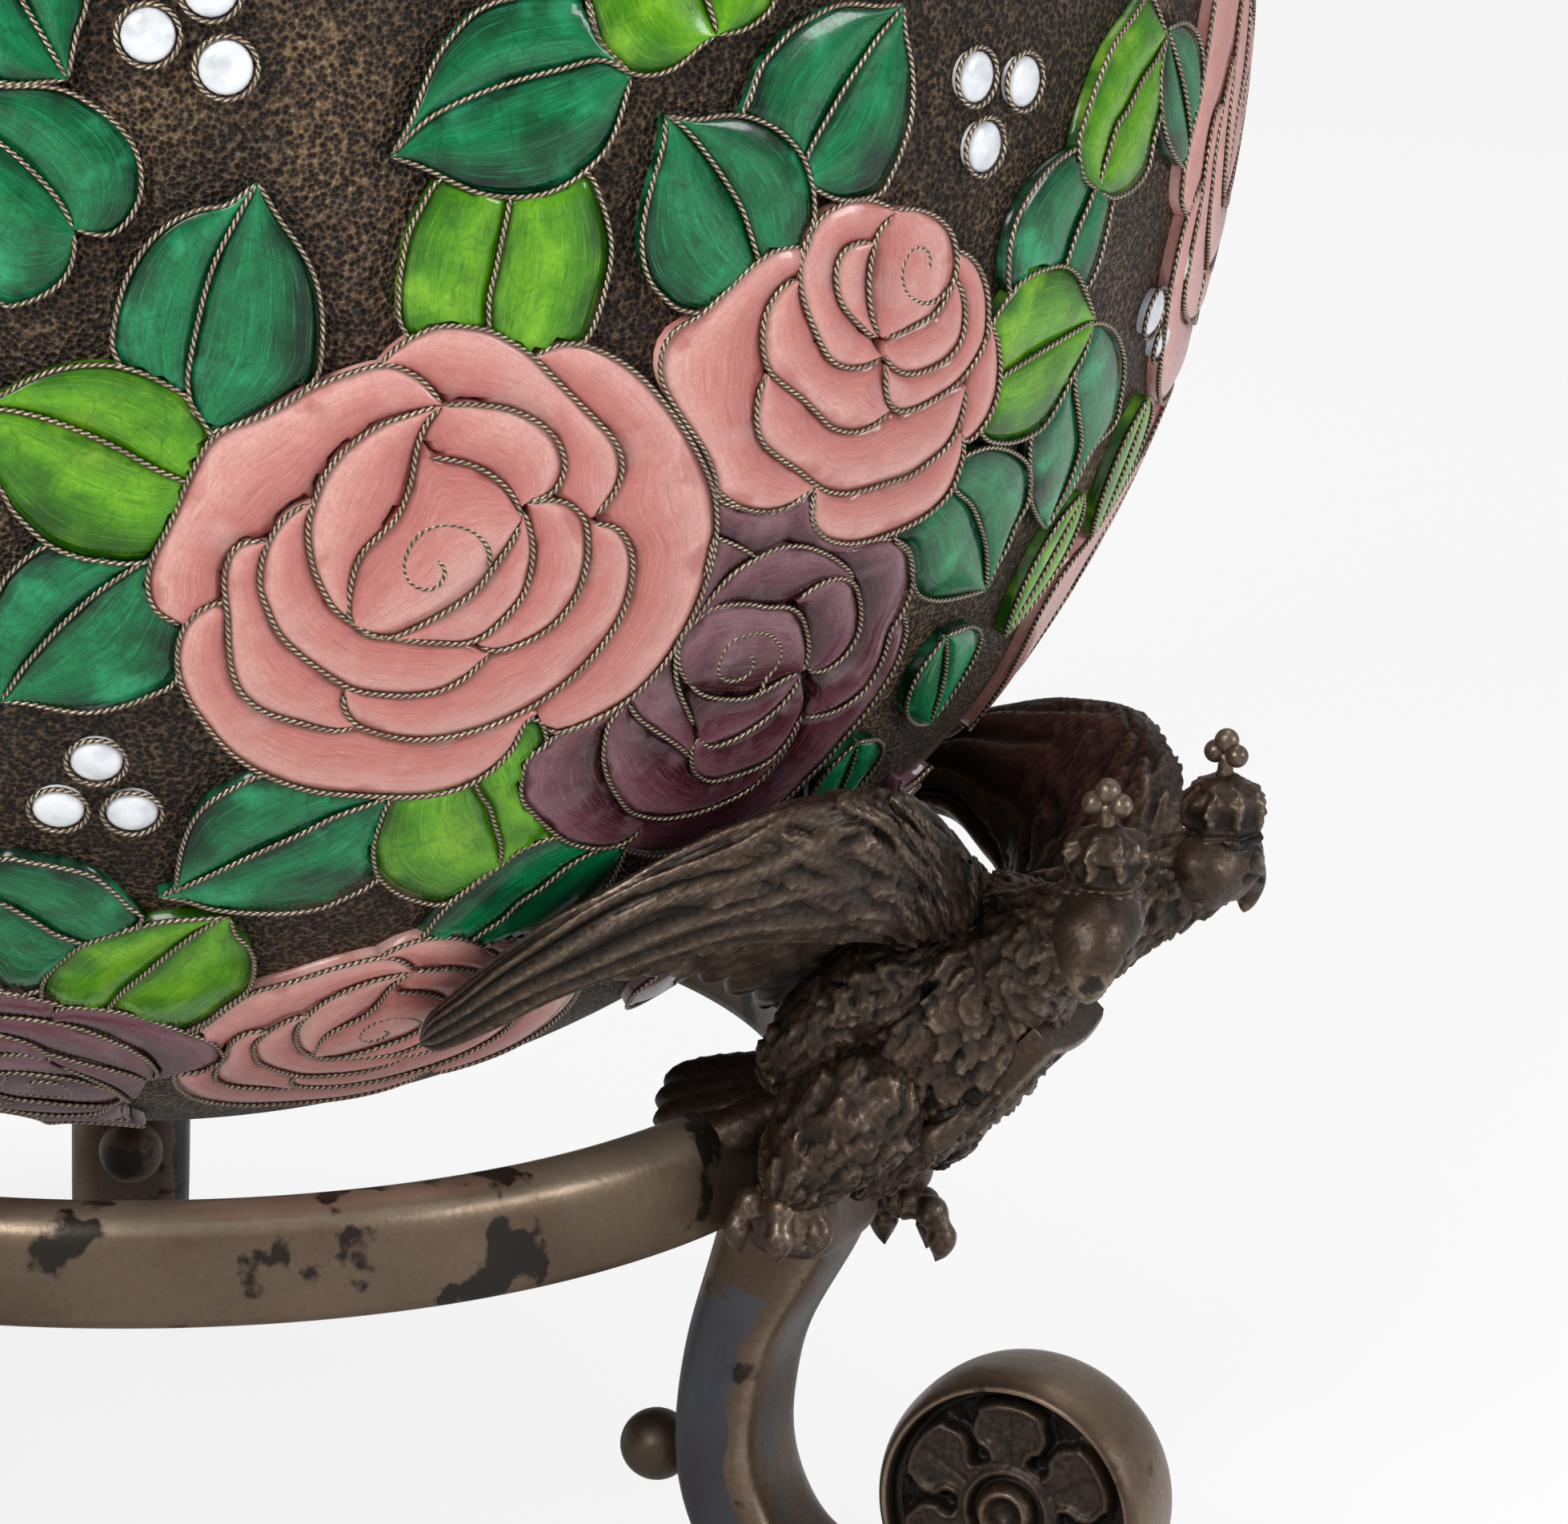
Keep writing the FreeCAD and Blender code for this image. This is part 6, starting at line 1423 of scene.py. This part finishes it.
def shieldSet():
    # Bare heater shield: width falls from the shoulders to the point, face slightly domed inside a
    # raised rim, border turned back into the breast.
    v = np.linspace(0, 1, 50)[:, None]
    u = np.linspace(-1, 1, 50)[None]
    half = 3.5 * np.maximum(1 - v ** 2.4, 0) ** 0.75 + 0.03
    border = np.minimum((1 - np.abs(u)) * half, np.minimum(v * 7.8 + 0 * u, (1 - v) * 7.8 + 0 * u))
    height = 0.45 * (1 - u ** 2) + 0.30 * peak(border, 0.28, 0.22) - 0.15 * smoothstep((border - 0.5) / 0.4)
    flat = padded(np.stack([u * half, 3.9 - 7.8 * v + 0.25 * u ** 2 * (v < 0.1) + 0 * u, height], -1))
    flat[[0, -1], :, 2] = flat[:, [0, -1], 2] = -1.2
    lean, out = np.array([0.66, 0, 0.7513]), np.array([0.7513, 0, -0.66])
    grid = (np.array([50.55, 0, 33.15]) + flat[..., :1] * np.array([0, 1.0, 0]) + flat[..., 1:2] * lean
            + flat[..., 2:] * out)
    wearAndShading = np.clip(0.45 + 0.5 * padded(peak(border, 0.28, 0.2)), 0, 1)
    return asSet(grid, 0.0, wearAndShading, False, np.array([46.0, 0, 35.5]))


onEachLeg("_eagle_casting", castingSet(), bronze, ["_eagle"])
onEachLeg("_eagle_near_feathers", wingSet(-1), bronze, ["_eagle_right_wing"])
onEachLeg("_eagle_far_feathers", wingSet(1), bronze, ["_eagle_left_wing"])
onEachLeg("_eagle_plain_shield", shieldSet(), bronze, ["_eagle_shield"])
bpy.data.objects["gilt_collar"].material_slots[0].material = gilt
print("eagles made")


# Room

# Half size of the floor, share of the sky that shiny faces see, then place, aim, size, power and colour
# of each lamp.
room = {"floor": 1.6, "glossy": 0.28, "lamps": {
    "keyLight": ((-0.30, -0.50, 0.42), (0, 0, 0.07), 0.30, 3.4, (1.0, 0.98, 0.95)),
    "fillLight": ((0.48, -0.26, 0.22), (0, 0, 0.06), 0.18, 1.2, (0.97, 0.98, 1.0)),
    "topLight": ((0.05, 0.10, 0.60), (0, 0, 0.08), 0.40, 1.2, (1.0, 1.0, 1.0))}}


def softLight(name, place, aim, size, power, colour):
    lamp = bpy.data.lights.new(name, "AREA")
    lamp.shape = "DISK"
    lamp.size = size
    lamp.energy = power
    lamp.color = colour
    light = bpy.data.objects.new(name, lamp)
    bpy.context.collection.objects.link(light)
    light.location = place
    back = np.asarray(place, float) - np.asarray(aim, float)
    back /= np.linalg.norm(back)
    side = np.cross((0, 0, 1), back)
    side /= np.linalg.norm(side)
    up = np.cross(back, side)
    light.matrix_world = Matrix([[side[k], up[k], back[k], place[k]] for k in range(3)] + [[0, 0, 0, 1]])


def paleFloor():
    # Seamless white paper: it reads white to the camera and still takes the object's shadow.
    material, shader = finish("whitePaper")
    fill(material, shader, {"Base Color": linear("#f4f4f4"), "Roughness": 0.9})
    share = reckoned(material, "MULTIPLY", node(material, "ShaderNodeLightPath").outputs["Is Camera Ray"], 0.84)
    glow = node(material, "ShaderNodeEmission", {"Color": (1, 1, 1, 1), "Strength": 1.0})
    mix = node(material, "ShaderNodeMixShader", {0: share, 1: shader.outputs[0], 2: glow.outputs[0]})
    fill(material, material.node_tree.nodes["Material Output"], {"Surface": mix.outputs[0]})
    size = room["floor"]
    mesh = bpy.data.meshes.new("floor")
    mesh.from_pydata([(-size, -size, 0), (size, -size, 0), (size, size, 0), (-size, size, 0)], [], [(0, 1, 2, 3)])
    mesh.materials.append(material)
    floor = bpy.data.objects.new("floor", mesh)
    bpy.context.collection.objects.link(floor)


def skyLight():
    # Even studio light, white where the camera sees it.
    world = bpy.data.worlds.new("studio")
    bpy.context.scene.world = world
    world.use_nodes = True
    nodes = world.node_tree.nodes
    soft = fill(world, nodes["Background"], {"Color": (0.95, 0.97, 1.0, 1.0), "Strength": 0.28})
    plain = node(world, "ShaderNodeBackground", {"Color": (1, 1, 1, 1), "Strength": 1.0})
    paths = node(world, "ShaderNodeLightPath").outputs
    share = node(world, "ShaderNodeMath", {0: paths["Is Glossy Ray"], 1: room["glossy"], 2: paths["Is Camera Ray"]},
                 operation="MULTIPLY_ADD").outputs[0]
    mix = node(world, "ShaderNodeMixShader", {0: share, 1: soft.outputs[0], 2: plain.outputs[0]})
    fill(world, nodes["World Output"], {"Surface": mix.outputs[0]})


def addCamera():
    data = bpy.data.cameras.new("camera")
    data.sensor_fit = "HORIZONTAL"
    data.sensor_width = view["sensor"]
    data.lens = view["lens"]
    data.clip_start = 0.01
    camera = bpy.data.objects.new("camera", data)
    bpy.context.collection.objects.link(camera)
    right, up, forward = viewAxes()
    place = np.asarray(view["place"]) * 0.001
    camera.matrix_world = Matrix([[right[k], up[k], -forward[k], place[k]] for k in range(3)] + [[0, 0, 0, 1]])
    bpy.context.scene.camera = camera


paleFloor()
skyLight()
for name, settings in room["lamps"].items():
    softLight(name, *settings)
addCamera()
bpy.context.scene.view_settings.view_transform = "Standard"
print("room made")
